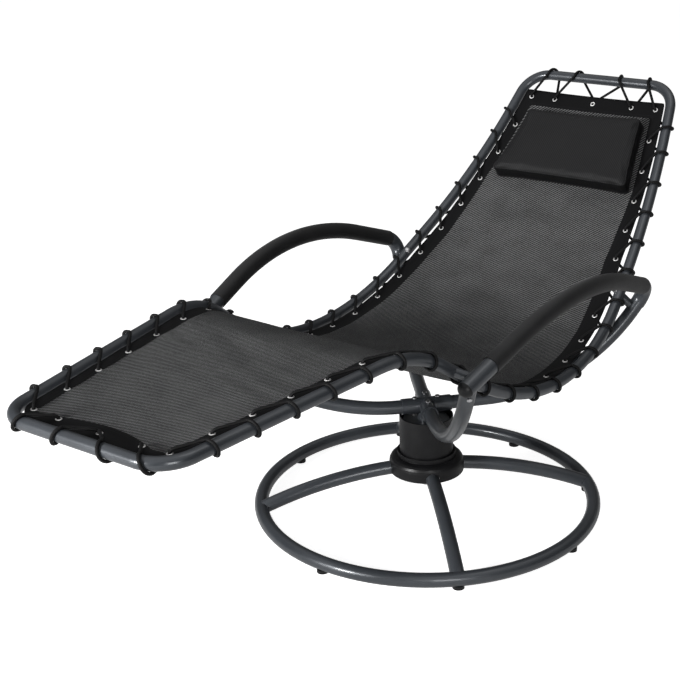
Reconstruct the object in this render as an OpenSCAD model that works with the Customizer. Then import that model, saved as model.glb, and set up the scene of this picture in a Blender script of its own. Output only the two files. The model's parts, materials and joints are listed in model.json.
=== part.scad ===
// Rocking sun lounger: a laced sling in a bent tube frame, carried by a crossed
// cradle on a sprung rocker and a swivel, over a round tube base.
// Millimetres, +Z up, +Y towards the head, +X the sitter's right, floor at z = 0.

/* [Base] */
// Centre-line radius of the floor ring
ring_r = 390; // [340:5:430]
// Outside diameter of the ring and spoke tubes
base_tube_d = 31.8; // [28:0.2:35]
// Wall of the ring and spoke tubes
base_wall = 1.8; // [1.2:0.1:2.5]
// Height of the spokes' centre line over the hub
spoke_crown_z = 104; // [98:1:110]
// How far each spoke ends short of the ring's centre line
spoke_short = 6; // [4:1:8]
// Turn of the first spoke from the lounger's right side
spoke_turn = 43.5; // [40:0.5:50]
// Diameter of the floor pads
pad_d = 26; // [20:1:30]
// Thickness of the floor pads under the ring
pad_t = 5; // [3:0.5:8]
// Diameter of the pegs that hold the pads in the ring
peg_d = 8; // [6:0.5:10]
// Number of floor pads
pad_count = 8; // [4:4:12]

/* [Hub] */
// Outside diameter of the steel socket that the spokes are welded to
socket_d = 60; // [58:1:66]
// Wall of the socket
socket_wall = 4; // [3:0.5:6]
// Height of the socket's lower face
socket_low_z = 84; // [80:1:88]
// Height of the socket's top face
socket_top_z = 132; // [130:0.5:133]
// Length of each bush in the socket
bush_h = 12; // [8:1:18]
// Diameter of the swivel spindle
spindle_d = 25; // [20:1:25]
// Diameter of the spindle's nut over its corners
nut_d = 40; // [36:1:44]
// Height of the nut's dome above the floor
nut_low_z = 50; // [44:1:56]
// Diameter of the balls in the swivel race
ball_d = 8; // [7:0.5:8]
// Number of balls in the race
ball_count = 14; // [10:1:15]
// Radius of the ball circle
ball_circle_r = 21; // [20:0.5:22]
// Thickness of each race
race_t = 4.5; // [4:0.5:5]
// Outside diameter of the races
race_d = 56; // [54:1:58]
// Outside diameter of the domed bearing cover
collar_d = 174; // [170:1:190]
// Height of the cover's lower edge
collar_low_z = 93; // [88:1:97]
// Radius of the cover's domed shoulder
collar_dome_r = 18; // [14:1:20]
// Outside diameter of the cover's upper rim
rim_d = 137; // [135:1:140]
// Height of the cover's upper rim
rim_top_z = 142; // [138:1:146]
// Wall of the moulded covers
cover_wall = 3; // [2:0.5:3.5]

/* [Rocker] */
// Outside diameter of the rocker's round casing
casing_d = 125; // [122:1:128]
// Height of the casing's lower edge
casing_low_z = 138; // [137:0.5:140]
// Height of the casing's open upper lip
casing_top_z = 229; // [222:1:230]
// Height of the swivel plate's top face
plate_top_z = 149.5; // [149:0.5:151]
// Thickness of the swivel plate, the ears and the rocking disc
plate_t = 5; // [4:0.5:5]
// Height of the rocker pin's axis
pin_z = 190; // [186:1:192]
// Diameter of the rocker pin
pin_d = 12; // [10:0.5:14]
// Inner spacing of the two ears
ear_gap = 48; // [44:1:52]
// Width of an ear
ear_w = 24; // [22:1:28]
// Diameter of the rocking disc over the springs
disc_d = 108; // [104:1:112]
// Height of the rocking disc's underside
disc_z = 214; // [212:1:216]
// Distance of the springs from the rocker pin
spring_y = 40; // [38:1:41]
// Mean diameter of the springs
spring_d = 24; // [22:0.5:25]
// Wire of the springs
spring_wire = 4; // [3:0.5:4]
// Turns in each spring
spring_turns = 6; // [4:1:7]
// Diameter of the riser between the rocker and the crossing
riser_d = 40; // [36:1:41]

/* [Cradle] */
// Height of the crossing tubes' centre line
cross_z = 253; // [252:1:258]
// Outside diameter of the cradle tubes
cradle_d = 31.8; // [30:0.2:33]
// Wall of the cradle tubes
cradle_wall = 1.6; // [1.2:0.1:2]
// Reach of the crossing sleeves from the swivel axis
sleeve_reach = 58; // [50:1:62]
// Wall of the crossing sleeves
sleeve_wall = 2.5; // [2:0.1:3]
// Distance of the crossing's bolts from the swivel axis
cross_bolt_r = 27; // [26:1:32]
// Turn of the front cradle tubes
front_turn = -46.6; // [-50:0.1:-42]
// Reach of the front tubes' bend corner
front_corner_r = 322; // [310:1:330]
// Slope of the front tubes' upper ends
front_slope = 54.6; // [50:0.1:60]
// Bending radius of the front cradle tubes
front_bend_r = 500; // [480:5:510]
// Distance from the axis to the front cradle tubes' upper ends
front_reach = 502.6; // [500:0.1:505]
// Turn of the rear cradle tubes
rear_turn = 48.6; // [44:0.1:52]
// Reach of the rear tubes' bend corner
rear_corner_r = 377; // [365:1:385]
// Slope of the rear tubes' upper ends
rear_slope = 56; // [52:0.1:60]
// Bending radius of the rear cradle tubes
rear_bend_r = 440; // [400:5:440]
// Reach of the rear tubes' upper ends
rear_reach = 510; // [500:1:520]

/* [Arms] */
// Outside diameter of the arm tubes
arm_d = 35; // [34.6:0.1:38]
// Wall of the arm tubes
arm_wall = 1.5; // [1.2:0.1:1.5]
// Distance of the arm's front end from the middle plane
arm_front_x = 344; // [338:1:350]
// Position of the arm's front end along the lounger
arm_front_y = -271.5; // [-280:0.5:-265]
// Height of the arm's front end
arm_front_z = 503; // [495:1:510]
// Distance of the arm's crown corner from the middle plane
arm_crown_x = 388; // [380:1:396]
// Position of the arm's crown corner along the lounger
arm_crown_y = 115; // [105:1:125]
// Height of the arm's crown corner
arm_crown_z = 633; // [620:1:645]
// Bending radius of the arm's crown
arm_crown_bend_r = 683; // [600:1:700]
// Bending radius of the arm's rear corner
arm_corner_r = 39; // [36:1:40]
// Length of the arm's leg behind its rear corner
arm_leg = 48; // [46:1:52]
// Length of the spigots that slip into the cradle tubes
spigot_length = 34; // [30:1:45]
// Length of the spigot at the arm's rear end
rear_spigot_length = 24; // [20:1:26]
// Radial clearance of the rear spigot, which reaches into the tube's bend
rear_spigot_play = 0.6; // [0.5:0.1:1]
// Bare length of the arm in front of its foam sleeve
bare_length = 82; // [70:1:95]
// Thickness of the foam sleeve on the arms
foam_t = 1.9; // [1.5:0.1:4]
// Height of the domed plugs in the arms' front ends
plug_dome = 14; // [8:1:16]

/* [Frame] */
// Outside diameter of the frame tube
rail_d = 25.4; // [24:0.2:26]
// Wall of the frame tube
rail_wall = 1.5; // [1.2:0.1:1.8]
// Half width of the frame at the foot bar
foot_x = 195; // [180:1:210]
// Position of the foot bar along the lounger
foot_y = -933.5; // [-950:0.5:-900]
// Height of the foot bar
foot_z = 565; // [550:1:580]
// Half width at the knee
knee_x = 275; // [265:1:285]
// Position of the knee along the lounger
knee_y = -343.5; // [-355:0.5:-335]
// Height of the knee
knee_z = 591; // [580:1:600]
// Half width where the side lines meet under the seat
seat_x = 362; // [350:1:366]
// Position of that meeting point along the lounger
seat_y = 132.5; // [125:0.5:140]
// Height of that meeting point
seat_z = 264; // [255:1:275]
// Half width at the upper back
back_x = 253; // [246:1:260]
// Position of the upper back along the lounger
back_y = 741; // [735:0.5:750]
// Height of the upper back
back_z = 645; // [638:1:652]
// Half width of the frame at the head bar
head_x = 206; // [190:1:220]
// Position of the head bar along the lounger
head_y = 933.5; // [925:0.5:940]
// Height of the head bar
head_z = 873; // [860:1:890]
// Bending radius at the knee
knee_r = 280; // [240:5:300]
// Bending radius under the seat
seat_r = 560; // [520:10:580]
// Bending radius of the upper back
back_r = 1500; // [1200:20:1550]
// Bending radius of the foot and head corners
corner_r = 72; // [55:1:90]
// Length of the necked ends that slip into the side rails
neck_length = 45; // [40:1:60]
// Distance of the foot joint along the side line
foot_joint_s = 699; // [690:1:705]
// Distance of the head joint along the side line
head_joint_s = 1512; // [1500:1:1520]
// Distance of the front mount along the side line
front_mount_s = 718; // [714:1:724]
// Distance of the rear mount along the side line
rear_mount_s = 1481; // [1474:1:1486]
// Diameter of the mounting stubs
stub_d = 20; // [18:1:22]
// Diameter of the mounting bolts
bolt_d = 8; // [6:0.5:10]

/* [Sling] */
// Distance from the rail's centre line to the side eyelets
eyelet_inset = 38; // [36:1:44]
// Distance from the eyelets to the sling's edge
edge_margin = 13; // [12:1:16]
// Thickness of the sling
sling_t = 1.6; // [1.2:0.1:2.4]
// Sag of the sling across its width
sling_sag = 6; // [0:1:12]
// Eyelets along each side
side_eyelets = 23; // [18:1:24]
// Distance of the foot row from the foot bar
foot_row = 45; // [40:1:55]
// Distance of the head row from the head bar
head_row = 66; // [60:1:75]
// Outside width of an eyelet over its corners
eyelet_d = 13; // [11:0.5:14]
// Clear hole through an eyelet
eyelet_hole = 7; // [6.6:0.1:8]
// Height of an eyelet
eyelet_h = 2.6; // [2:0.1:4]

/* [Lacing] */
// Diameter of the elastic lacing
lace_d = 5.5; // [4:0.5:5.5]
// Height of the lacing over and under an eyelet
lace_rise = 5.5; // [5:0.5:7]
// Advance of one wrap along the rail
wrap_step = 7; // [6:0.5:10]
// Distance from an eyelet to the start of its wrap, along the rail
wrap_lead = 5; // [4:0.5:8]
// Shift of the wraps at the four corners
corner_shift = 27; // [24:1:32]
// Radius of the knots at the ends of the lacing
knot_r = 4.6; // [4:0.1:5]

/* [Pillow] */
// Width of the pillow
pillow_w = 350; // [330:2:356]
// Height of the pillow along the back
pillow_h = 222; // [210:2:230]
// Thickness of the pillow
pillow_t = 46; // [35:1:60]
// Distance of the pillow's middle from the middle plane
pillow_x = 10; // [0:1:12]
// Distance of the pillow's middle along the side line
pillow_s = 1886; // [1880:1:1890]

/* [Fits] */
// Gap between parts that are welded or bolted together
weld_gap = 0.2; // [0.1:0.05:0.3]
// Radial clearance of tubes, pegs and bolts in their holes
slip = 0.1; // [0.05:0.05:0.2]
// Radial clearance of the parts that turn
running = 0.05; // [0.02:0.01:0.1]

/* [Hidden] */
$fn = 64;
steel = [0.27, 0.29, 0.31];
plastic = [0.08, 0.08, 0.085];
bright = [0.75, 0.75, 0.77];
foam = [0.13, 0.13, 0.135];
cloth_grey = [0.22, 0.22, 0.23];
over = 1;
lap = 0.5;
swell = 0.2;
axis_y = 106.5;
left = -1;
right = 1;

// Vector helpers
function unit(v) = v / norm(v);
function turn(u, v) = acos(max(-1, min(1, unit(u) * unit(v))));
function flip(p, side) = [side * p.x, p.y, p.z];
function flip_all(pts, side) = [for (p = pts) flip(p, side)];
function polar(r, a, z) = [r * cos(a), axis_y + r * sin(a), z];
function join(lists) = [for (l = lists) each l];

// Turns the z axis to a direction
module aim(v) {
  rotate([0, acos(v.z / norm(v)), atan2(v.y, v.x)]) children();
}

// Solid rod between two points
module rod(a, b, d) {
  translate(a) aim(b - a) cylinder(h = norm(b - a), d = d);
}

// Puts a shape in a frame given by three directions and an origin
module framed(e1, e2, e3, at) {
  multmatrix([
    [e1.x, e2.x, e3.x, at.x],
    [e1.y, e2.y, e3.y, at.y],
    [e1.z, e2.z, e3.z, at.z],
    [0, 0, 0, 1]
  ]) children();
}

// Solid torus part that joins two directions at a corner point, with its seam line on a given side
module bend(corner, u, v, r, d, side) {
  angle = turn(u, v);
  way = unit(u);
  inwards = unit(unit(v) - way * (way * unit(v)));
  across = cross(way, inwards);
  framed(-inwards, way, across, corner - way * r * tan(angle / 2)) translate([-r, 0, 0])
    rotate_extrude(angle = angle) translate([r, 0]) rotate(atan2(side * across, -side * inwards)) circle(d = d);
}

// Length that a bend takes from the lines on each side of its corner
function bend_cut(pts, radii, i) =
  i <= 0 || i >= len(pts) - 1 ? 0
  : radii[i] * tan(turn(pts[i] - pts[i - 1], pts[i + 1] - pts[i]) / 2);

// Side of a straight that its seam line lies on, carried from one straight to the next through the bend
function turned(e, n, a) = e * cos(a) + cross(n, e) * sin(a) + n * (n * e) * (1 - cos(a));
function seam_side(pts, i) =
  i == 0 ? first_side(unit(pts[1] - pts[0]))
  : let (u = pts[i] - pts[i - 1], v = pts[i + 1] - pts[i])
    turned(seam_side(pts, i - 1), unit(cross(u, v)), turn(u, v));

// Solid rod bent along a line of corner points; the straights reach a little into the bends
module rod_run(pts, radii, d) {
  n = len(pts) - 1;
  for (i = [0 : n - 1]) {
    u = unit(pts[i + 1] - pts[i]);
    e = seam_side(pts, i);
    a = pts[i] + u * (bend_cut(pts, radii, i) - (i > 0 ? lap : 0));
    b = pts[i + 1] - u * (bend_cut(pts, radii, i + 1) - (i < n - 1 ? lap : 0));
    framed(e, cross(u, e), u, a) cylinder(h = norm(b - a), d = d);
  }
  for (i = [1 : n - 1])
    bend(pts[i], pts[i] - pts[i - 1], pts[i + 1] - pts[i], radii[i], d + swell, seam_side(pts, i - 1));
}

// Line of corner points with its two ends moved along their own directions
function stretched(pts, first, last) =
  let (n = len(pts) - 1)
  [for (i = [0 : n])
    i == 0 ? pts[0] + unit(pts[0] - pts[1]) * first
    : i == n ? pts[n] + unit(pts[n] - pts[n - 1]) * last
    : pts[i]];

// Bent tube
module tube_run(pts, radii, d, wall) {
  difference() {
    rod_run(pts, radii, d);
    rod_run(stretched(pts, over, over), radii, d - 2 * wall);
  }
}

// Places a shape around the swivel axis
module at_axis() {
  translate([0, axis_y, 0]) children();
}
module spaced(count, first) {
  for (i = [0 : count - 1]) rotate(first + i * 360 / count) children();
}

// Base: ring, spokes and pads
ring_z = pad_t + base_tube_d / 2;
pad_saddle = 3;
module ring_rod(d) {
  translate([0, 0, ring_z]) rotate_extrude() translate([ring_r, 0]) circle(d = d);
}
module base_ring() {
  color(steel) at_axis() difference() {
    ring_rod(base_tube_d);
    ring_rod(base_tube_d - 2 * base_wall);
    spaced(pad_count, spoke_turn) translate([ring_r, 0, 0]) cylinder(h = ring_z, d = peg_d + 2 * slip);
  }
}
module floor_pads() {
  color(plastic) at_axis() spaced(pad_count, spoke_turn) {
    difference() {
      translate([ring_r, 0, 0]) cylinder(h = pad_t + pad_saddle, d = pad_d);
      translate([0, 0, ring_z]) rotate(-3) rotate_extrude(angle = 6) translate([ring_r, 0])
        circle(d = base_tube_d + 2 * slip);
    }
    translate([ring_r, 0, pad_t - over]) cylinder(h = base_wall + 4, d = peg_d);
  }
}

// Rod along a spoke's bend, which falls from the crown to the ring's centre line
spoke_drop = spoke_crown_z - ring_z;
spoke_bend_r = (ring_r * ring_r + spoke_drop * spoke_drop) / (2 * spoke_drop);
spoke_reach = ring_r - spoke_short;
module spoke_rod(first, last, d) {
  translate([0, 0, spoke_crown_z - spoke_bend_r]) rotate([90, 0, 0])
    rotate(acos(last / spoke_bend_r))
      rotate_extrude(angle = acos(first / spoke_bend_r) - acos(last / spoke_bend_r))
        translate([spoke_bend_r, 0]) circle(d = d);
}
spoke_start = socket_d / 2 - 6;
module spoke(i) {
  color(steel) at_axis() rotate(spoke_turn + i * 90) difference() {
    spoke_rod(spoke_start, spoke_reach, base_tube_d);
    spoke_rod(spoke_start - over, spoke_reach + over, base_tube_d - 2 * base_wall);
    cylinder(h = socket_top_z, d = socket_d + 2 * weld_gap);
    ring_rod(base_tube_d + 2 * weld_gap);
  }
}

// Hub: socket, bushes, race and cover
bush_d = socket_d - 2 * socket_wall;
module hub_socket() {
  color(steel) at_axis() translate([0, 0, socket_low_z]) difference() {
    cylinder(h = socket_top_z - socket_low_z, d = socket_d);
    translate([0, 0, -over]) cylinder(h = socket_top_z - socket_low_z + 2 * over, d = bush_d);
  }
}
module spindle_bushes() {
  color(plastic) at_axis() for (z = [socket_low_z, socket_top_z - bush_h])
    translate([0, 0, z]) difference() {
      cylinder(h = bush_h, d = bush_d - 2 * running);
      translate([0, 0, -over]) cylinder(h = bush_h + 2 * over, d = spindle_d + 2 * running);
    }
}
ball_z = (socket_top_z + plate_top_z - plate_t) / 2;
race_bore_r = spindle_d / 2 + 0.5;
ball_play = 0.1;
module race(z) {
  at_axis() rotate_extrude() difference() {
    translate([race_bore_r, z]) square([race_d / 2 - race_bore_r, race_t]);
    translate([ball_circle_r, ball_z]) circle(r = ball_d / 2 + ball_play);
  }
}
module lower_race() {
  color(bright) race(socket_top_z);
}
module bearing_balls() {
  color(bright) at_axis() spaced(ball_count, 0) translate([ball_circle_r, 0, ball_z])
    sphere(d = ball_d, $fn = 10);
}
web_z = spoke_crown_z + base_tube_d / 2 - 1;
dome_steps = 5;
function dome_line(t) =
  let (x = collar_d / 2 - collar_dome_r, z = socket_top_z - collar_dome_r)
  [for (i = [0 : dome_steps]) [x, z] + (collar_dome_r - t) * [cos(i * 90 / dome_steps), sin(i * 90 / dome_steps)]];
collar_outline = concat(
  [[collar_d / 2, collar_low_z]], dome_line(0),
  [[rim_d / 2, socket_top_z], [rim_d / 2, rim_top_z], [rim_d / 2 - cover_wall, rim_top_z]],
  [[rim_d / 2 - cover_wall, web_z + cover_wall], [socket_d / 2 + slip, web_z + cover_wall],
    [socket_d / 2 + slip, web_z], [collar_d / 2 - collar_dome_r, web_z]],
  [dome_line(cover_wall)[0], [collar_d / 2 - cover_wall, collar_low_z]]
);
module bearing_collar() {
  color(plastic) at_axis() difference() {
    rotate_extrude() polygon(collar_outline);
    spaced(4, spoke_turn) {
      spoke_rod(spoke_start, collar_d, base_tube_d + 2 * weld_gap);
      translate([socket_d / 2, -base_tube_d / 2 + over, socket_low_z - base_tube_d / 2])
        cube([collar_d / 2, base_tube_d - 2 * over, base_tube_d]);
    }
  }
}

// Swivel: race, spindle, yoke and casing
module upper_race() {
  color(bright) race(plate_top_z - plate_t - race_t);
}
nut_t = 17;
thread_low_z = nut_low_z + 10;
module swivel_spindle() {
  color(bright) at_axis() translate([0, 0, thread_low_z])
    cylinder(h = plate_top_z - thread_low_z, d = spindle_d);
}
washer_t = 2;
module spindle_nut() {
  nut_top = socket_low_z - weld_gap - washer_t;
  color(bright) at_axis() difference() {
    union() {
      translate([0, 0, nut_top]) cylinder(h = washer_t, d = nut_d + 6);
      translate([0, 0, nut_top - nut_t]) cylinder(h = nut_t, d = nut_d, $fn = 6);
      intersection() {
        translate([0, 0, nut_low_z]) cylinder(h = nut_top - nut_low_z, d = spindle_d + 7);
        translate([0, 0, nut_low_z + spindle_d]) sphere(r = spindle_d);
      }
    }
    translate([0, 0, thread_low_z - over]) cylinder(h = socket_low_z, d = spindle_d + 2 * running);
  }
}
screw_r = 52;
screw_d = 5;
screw_turn = 45;
module casing_screws() {
  flange_z = plate_top_z - plate_t - weld_gap - cover_wall;
  color(bright) at_axis() spaced(4, screw_turn) translate([screw_r, 0, flange_z - weld_gap - 2.5]) {
    cylinder(h = 2.5, d = 2 * screw_d);
    cylinder(h = plate_top_z - flange_z + weld_gap + 2.5, d = screw_d);
  }
}
module rocker_casing() {
  flange_z = plate_top_z - plate_t - weld_gap - cover_wall;
  color(plastic) at_axis() difference() {
    rotate_extrude() {
      translate([casing_d / 2 - cover_wall, casing_low_z]) square([cover_wall, casing_top_z - casing_low_z]);
      translate([screw_r - 2 * screw_d, flange_z])
        square([casing_d / 2 - over - screw_r + 2 * screw_d, cover_wall]);
    }
    spaced(4, screw_turn) translate([screw_r, 0, flange_z - over])
      cylinder(h = cover_wall + 2 * over, d = screw_d + 2 * slip);
  }
}
spring_rings = 8;
boss_d = spring_d * cos(180 / spring_rings) - spring_wire - 2 * slip;
boss_h = 6;
module ear_shape() {
  difference() {
    union() {
      translate([-ear_w / 2, plate_top_z - over]) square([ear_w, pin_z - plate_top_z + over]);
      translate([0, pin_z]) circle(d = ear_w);
    }
    translate([0, pin_z]) circle(d = pin_d + 2 * slip);
  }
}
module rocker_yoke() {
  color(steel) at_axis() {
    difference() {
      translate([0, 0, plate_top_z - plate_t])
        cylinder(h = plate_t, d = casing_d - 2 * cover_wall - 2 * weld_gap);
      translate([0, 0, plate_top_z - plate_t - over])
        cylinder(h = plate_t + 2 * over, d = spindle_d + 2 * running);
      spaced(4, screw_turn) translate([screw_r, 0, plate_top_z - plate_t - over])
        cylinder(h = plate_t + 2 * over, d = screw_d + 2 * slip);
    }
    for (x = [-ear_gap / 2 - plate_t, ear_gap / 2])
      translate([x, 0, 0]) rotate([90, 0, 90]) linear_extrude(plate_t) ear_shape();
    for (y = [-spring_y, spring_y]) translate([0, y, plate_top_z - over])
      cylinder(h = boss_h + over, d = boss_d);
  }
}
pin_reach = ear_gap / 2 + plate_t + 10;
module rocker_pin() {
  color(bright) at_axis() translate([-pin_reach, 0, pin_z]) rotate([0, 90, 0])
    cylinder(h = 2 * pin_reach, d = pin_d);
}
clip_t = 1.6;
module pin_clips() {
  color(bright) at_axis() for (side = [left, right])
    translate([side * (ear_gap / 2 + plate_t + weld_gap + clip_t / 2), 0, pin_z])
      rotate([0, 90, 0]) difference() {
        cylinder(h = clip_t, d = pin_d + 8, center = true);
        cylinder(h = clip_t + 2 * over, d = pin_d + 2 * slip, center = true);
      }
}

// Tube swept along points, with a radius for each point
function heading(p, i) =
  let (n = len(p) - 1)
  i <= 0 ? unit(p[1] - p[0]) : i >= n ? unit(p[n] - p[n - 1])
  : unit(unit(p[i] - p[i - 1]) + unit(p[i + 1] - p[i]));
function carried(p, x, i) = let (t = heading(p, i)) unit(x - t * (x * t));
function first_side(t) = unit(cross(abs(t.z) < 0.9 ? [0, 0, 1] : [0, 1, 0], t));
function sides_of(p) = [for (i = 0, x = first_side(heading(p, 0)); i < len(p);
  x = carried(p, x, i + 1), i = i + 1) x];
module swept(p, radii, sides) {
  x = sides_of(p);
  n = len(p);
  points = [for (i = [0 : n - 1], k = [0 : sides - 1])
    p[i] + (x[i] * cos(k * 360 / sides) + cross(heading(p, i), x[i]) * sin(k * 360 / sides)) * radii[i]];
  skin = [for (i = [0 : n - 2], k = [0 : sides - 1])
    let (a = i * sides + k, b = i * sides + (k + 1) % sides)
    each [[a, b + sides, b], [a, a + sides, b + sides]]];
  caps = [[for (k = [0 : sides - 1]) k],
    [for (k = [0 : sides - 1]) n * sides - 1 - k]];
  polyhedron(points, concat(skin, caps), convexity = 10);
}
function least_gap(p, d, apart) =
  min([for (i = [0 : len(p) - 1]) min([for (j = [i + apart : 1 : len(p) - 1]) norm(p[i] - p[j]), 1000])]) - d;

// Springs, with a flat half turn at each end
spring_low_z = plate_top_z + weld_gap / 2;
spring_high_z = disc_z - weld_gap / 2;
function spring_rise(turns_done) = max(0, min(1, (turns_done - 0.5) / (spring_turns - 1)));
spring_path = [for (i = [0 : spring_turns * spring_rings])
  let (a = i * 360 / spring_rings)
  [spring_d / 2 * cos(a), spring_d / 2 * sin(a),
    spring_low_z + spring_wire / 2
    + (spring_high_z - spring_low_z - spring_wire) * spring_rise(i / spring_rings)]];
module spring(y) {
  path = [for (q = spring_path) q + [0, axis_y + y, 0]];
  color(bright) swept(path, [for (q = path) spring_wire / 2], 6);
}
echo(spring_gap = least_gap(spring_path, spring_wire, 5));

// Seat carrier: rocking disc, crossing sleeves and bolts
disc_top = disc_z + plate_t;
bracket_z = cross_z - cradle_d / 2 - sleeve_wall - 2;
pivot_d = 20;
module rocker_head() {
  color(steel) at_axis() difference() {
    union() {
      translate([0, 0, disc_z]) cylinder(h = plate_t, d = disc_d);
      translate([0, 0, disc_top - over]) cylinder(h = bracket_z - disc_top + over - weld_gap, d = riser_d);
      translate([-ear_gap / 2 + 2, -pivot_d / 4, pin_z])
        cube([ear_gap - 4, pivot_d / 2, disc_z - pin_z + over]);
      translate([-ear_gap / 2 + weld_gap, 0, pin_z]) rotate([0, 90, 0])
        cylinder(h = ear_gap - 2 * weld_gap, d = pivot_d);
      for (y = [-spring_y, spring_y]) translate([0, y, disc_z - boss_h])
        cylinder(h = boss_h + over, d = boss_d);
    }
    translate([-ear_gap, 0, pin_z]) rotate([0, 90, 0])
      cylinder(h = 2 * ear_gap, d = pin_d + 2 * running);
  }
}
cross_turns = [front_turn, 180 - front_turn, rear_turn, 180 - rear_turn];
sleeve_d = cradle_d + 2 * slip + 2 * sleeve_wall;
socket_start = 20;
cross_bolt_d = 6;
module cross_bracket() {
  color(steel) at_axis() difference() {
    union() {
      for (a = cross_turns) translate([0, 0, cross_z]) rotate([0, 90, a])
        cylinder(h = sleeve_reach, d = sleeve_d);
      translate([0, 0, bracket_z]) cylinder(h = cross_z - bracket_z, d = riser_d);
    }
    for (a = cross_turns) {
      translate([socket_start * cos(a), socket_start * sin(a), cross_z]) rotate([0, 90, a])
        cylinder(h = sleeve_reach, d = cradle_d + 2 * slip);
      translate([cross_bolt_r * cos(a), cross_bolt_r * sin(a), bracket_z - over])
        cylinder(h = sleeve_d + 4, d = cross_bolt_d + 2 * slip);
    }
  }
}
module bolt_head(d, h) {
  intersection() {
    cylinder(h = h, d = 1.8 * d);
    translate([0, 0, h - 1.5 * d]) sphere(r = 1.5 * d);
  }
}
module bracket_bolts() {
  nut_h = 0.8 * cross_bolt_d;
  grip = sleeve_d / 2 + weld_gap;
  color(bright) for (a = cross_turns) translate(polar(cross_bolt_r, a, cross_z)) {
    translate([0, 0, grip]) bolt_head(cross_bolt_d, 4);
    translate([0, 0, -grip - nut_h]) cylinder(h = 2 * grip + nut_h + over, d = cross_bolt_d);
    translate([0, 0, -grip - nut_h]) cylinder(h = nut_h, d = 1.9 * cross_bolt_d, $fn = 6);
  }
}

// Lines of the cradle and the arms, given for the right side
function climb(corner_r, slope, r) = cross_z + (r - corner_r) * tan(slope);
function slant(a, slope) = [cos(slope) * cos(a), cos(slope) * sin(a), sin(slope)];
arm_front = [arm_front_x, arm_front_y, arm_front_z];
arm_crown = [arm_crown_x, arm_crown_y, arm_crown_z];
rear_up = slant(rear_turn, rear_slope);
front_up = slant(front_turn, front_slope);
rear_top = polar(rear_reach, rear_turn, climb(rear_corner_r, rear_slope, rear_reach));
arm_line = [arm_front, arm_crown, rear_top + rear_up * arm_leg, rear_top];
arm_bends = [0, arm_crown_bend_r, arm_corner_r, 0];
front_top = polar(front_reach, front_turn, climb(front_corner_r, front_slope, front_reach));
cradle_start = socket_start + over;
front_line = [polar(cradle_start, front_turn, cross_z), polar(front_corner_r, front_turn, cross_z), front_top];
rear_line = [polar(cradle_start, rear_turn, cross_z), polar(rear_corner_r, rear_turn, cross_z), rear_top];
spigot_d = cradle_d - 2 * cradle_wall - 2 * slip;
spigot_wall = 2;
rear_spigot_d = cradle_d - 2 * cradle_wall - 2 * rear_spigot_play;

// Side line of the frame with its bends, as pieces of known length
foot = [foot_x, foot_y, foot_z];
knee = [knee_x, knee_y, knee_z];
seat = [seat_x, seat_y, seat_z];
back = [back_x, back_y, back_z];
head = [head_x, head_y, head_z];
side_line = [foot, knee, seat, back, head];
side_bends = [0, knee_r, seat_r, back_r, 0];
function leg(i) = unit(side_line[i + 1] - side_line[i]);
function cut(i) = bend_cut(side_line, side_bends, i);
function straight_piece(i) =
  [norm(side_line[i + 1] - side_line[i]) - cut(i) - cut(i + 1), side_line[i] + leg(i) * cut(i), leg(i), leg(i), 0];
function bend_piece(i) =
  let (u = leg(i - 1), v = leg(i))
  [side_bends[i] * turn(u, v) * PI / 180, side_line[i] - u * cut(i), u, unit(v - u * (u * v)), side_bends[i]];
pieces = [straight_piece(0), bend_piece(1), straight_piece(1), bend_piece(2), straight_piece(2),
  bend_piece(3), straight_piece(3)];
side_length = [for (p = pieces) p[0]] * [for (p = pieces) 1];
function along(p, a) =
  p[4] == 0 ? [p[1] + p[2] * a, p[2]]
  : let (t = a / p[4] * 180 / PI)
    [p[1] + p[2] * p[4] * sin(t) + p[3] * p[4] * (1 - cos(t)), p[2] * cos(t) + p[3] * sin(t)];
function spot(s, i = 0) =
  i == len(pieces) - 1 || s <= pieces[i][0] ? along(pieces[i], s) : spot(s - pieces[i][0], i + 1);

// Rail frame at a distance along the side line: point, outwards, along, up
function rail_at(s) =
  let (q = spot(s), t = q[1], a = unit([1, 0, 0] - t * t.x))
  [q[0], a, t, cross(a, t)];
echo(side_length = side_length);

// Mounts between the frame and the arms
front_mount_rail = spot(front_mount_s)[0];
arm_mount_reach = 35;
front_mount_arm = arm_front + unit(arm_crown - arm_front) * arm_mount_reach;
rear_mount_rail = spot(rear_mount_s)[0];
rear_mount_drop = 12;
rear_mount_tube = rear_top - rear_up * rear_mount_drop;
cutter_reach = 40;
module rail_cutter(s, side) {
  q = rail_at(s);
  rod(flip(q[0] - q[2] * cutter_reach, side), flip(q[0] + q[2] * cutter_reach, side), rail_d + 2 * weld_gap);
}
module mount_hole(a, b, side, d) {
  u = unit(b - a);
  rod(flip(a - u * rail_d, side), flip(b + u * over, side), d);
}

cradle_bolt_drop = 25;
cradle_bolt_at = front_top - front_up * cradle_bolt_drop;
cradle_bolt_way = [sin(front_slope) * cos(front_turn), sin(front_slope) * sin(front_turn), -cos(front_slope)];
module cradle_bolt_hole(side) {
  rod(flip(cradle_bolt_at - cradle_bolt_way * cradle_d, side),
    flip(cradle_bolt_at + cradle_bolt_way * cradle_d, side), cross_bolt_d + 2 * slip);
}
module cradle_front(side) {
  line = flip_all(front_line, side);
  a = side == right ? front_turn : 180 - front_turn;
  color(steel) difference() {
    tube_run(line, [0, front_bend_r, 0], cradle_d, cradle_wall);
    rod(flip(arm_front - unit(arm_crown - arm_front) * 40, side), flip(front_mount_arm, side),
      arm_d + 2 * weld_gap);
    translate(polar(cross_bolt_r, a, cross_z - cradle_d)) cylinder(h = 2 * cradle_d, d = cross_bolt_d + 2 * slip);
    cradle_bolt_hole(side);
  }
}
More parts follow.
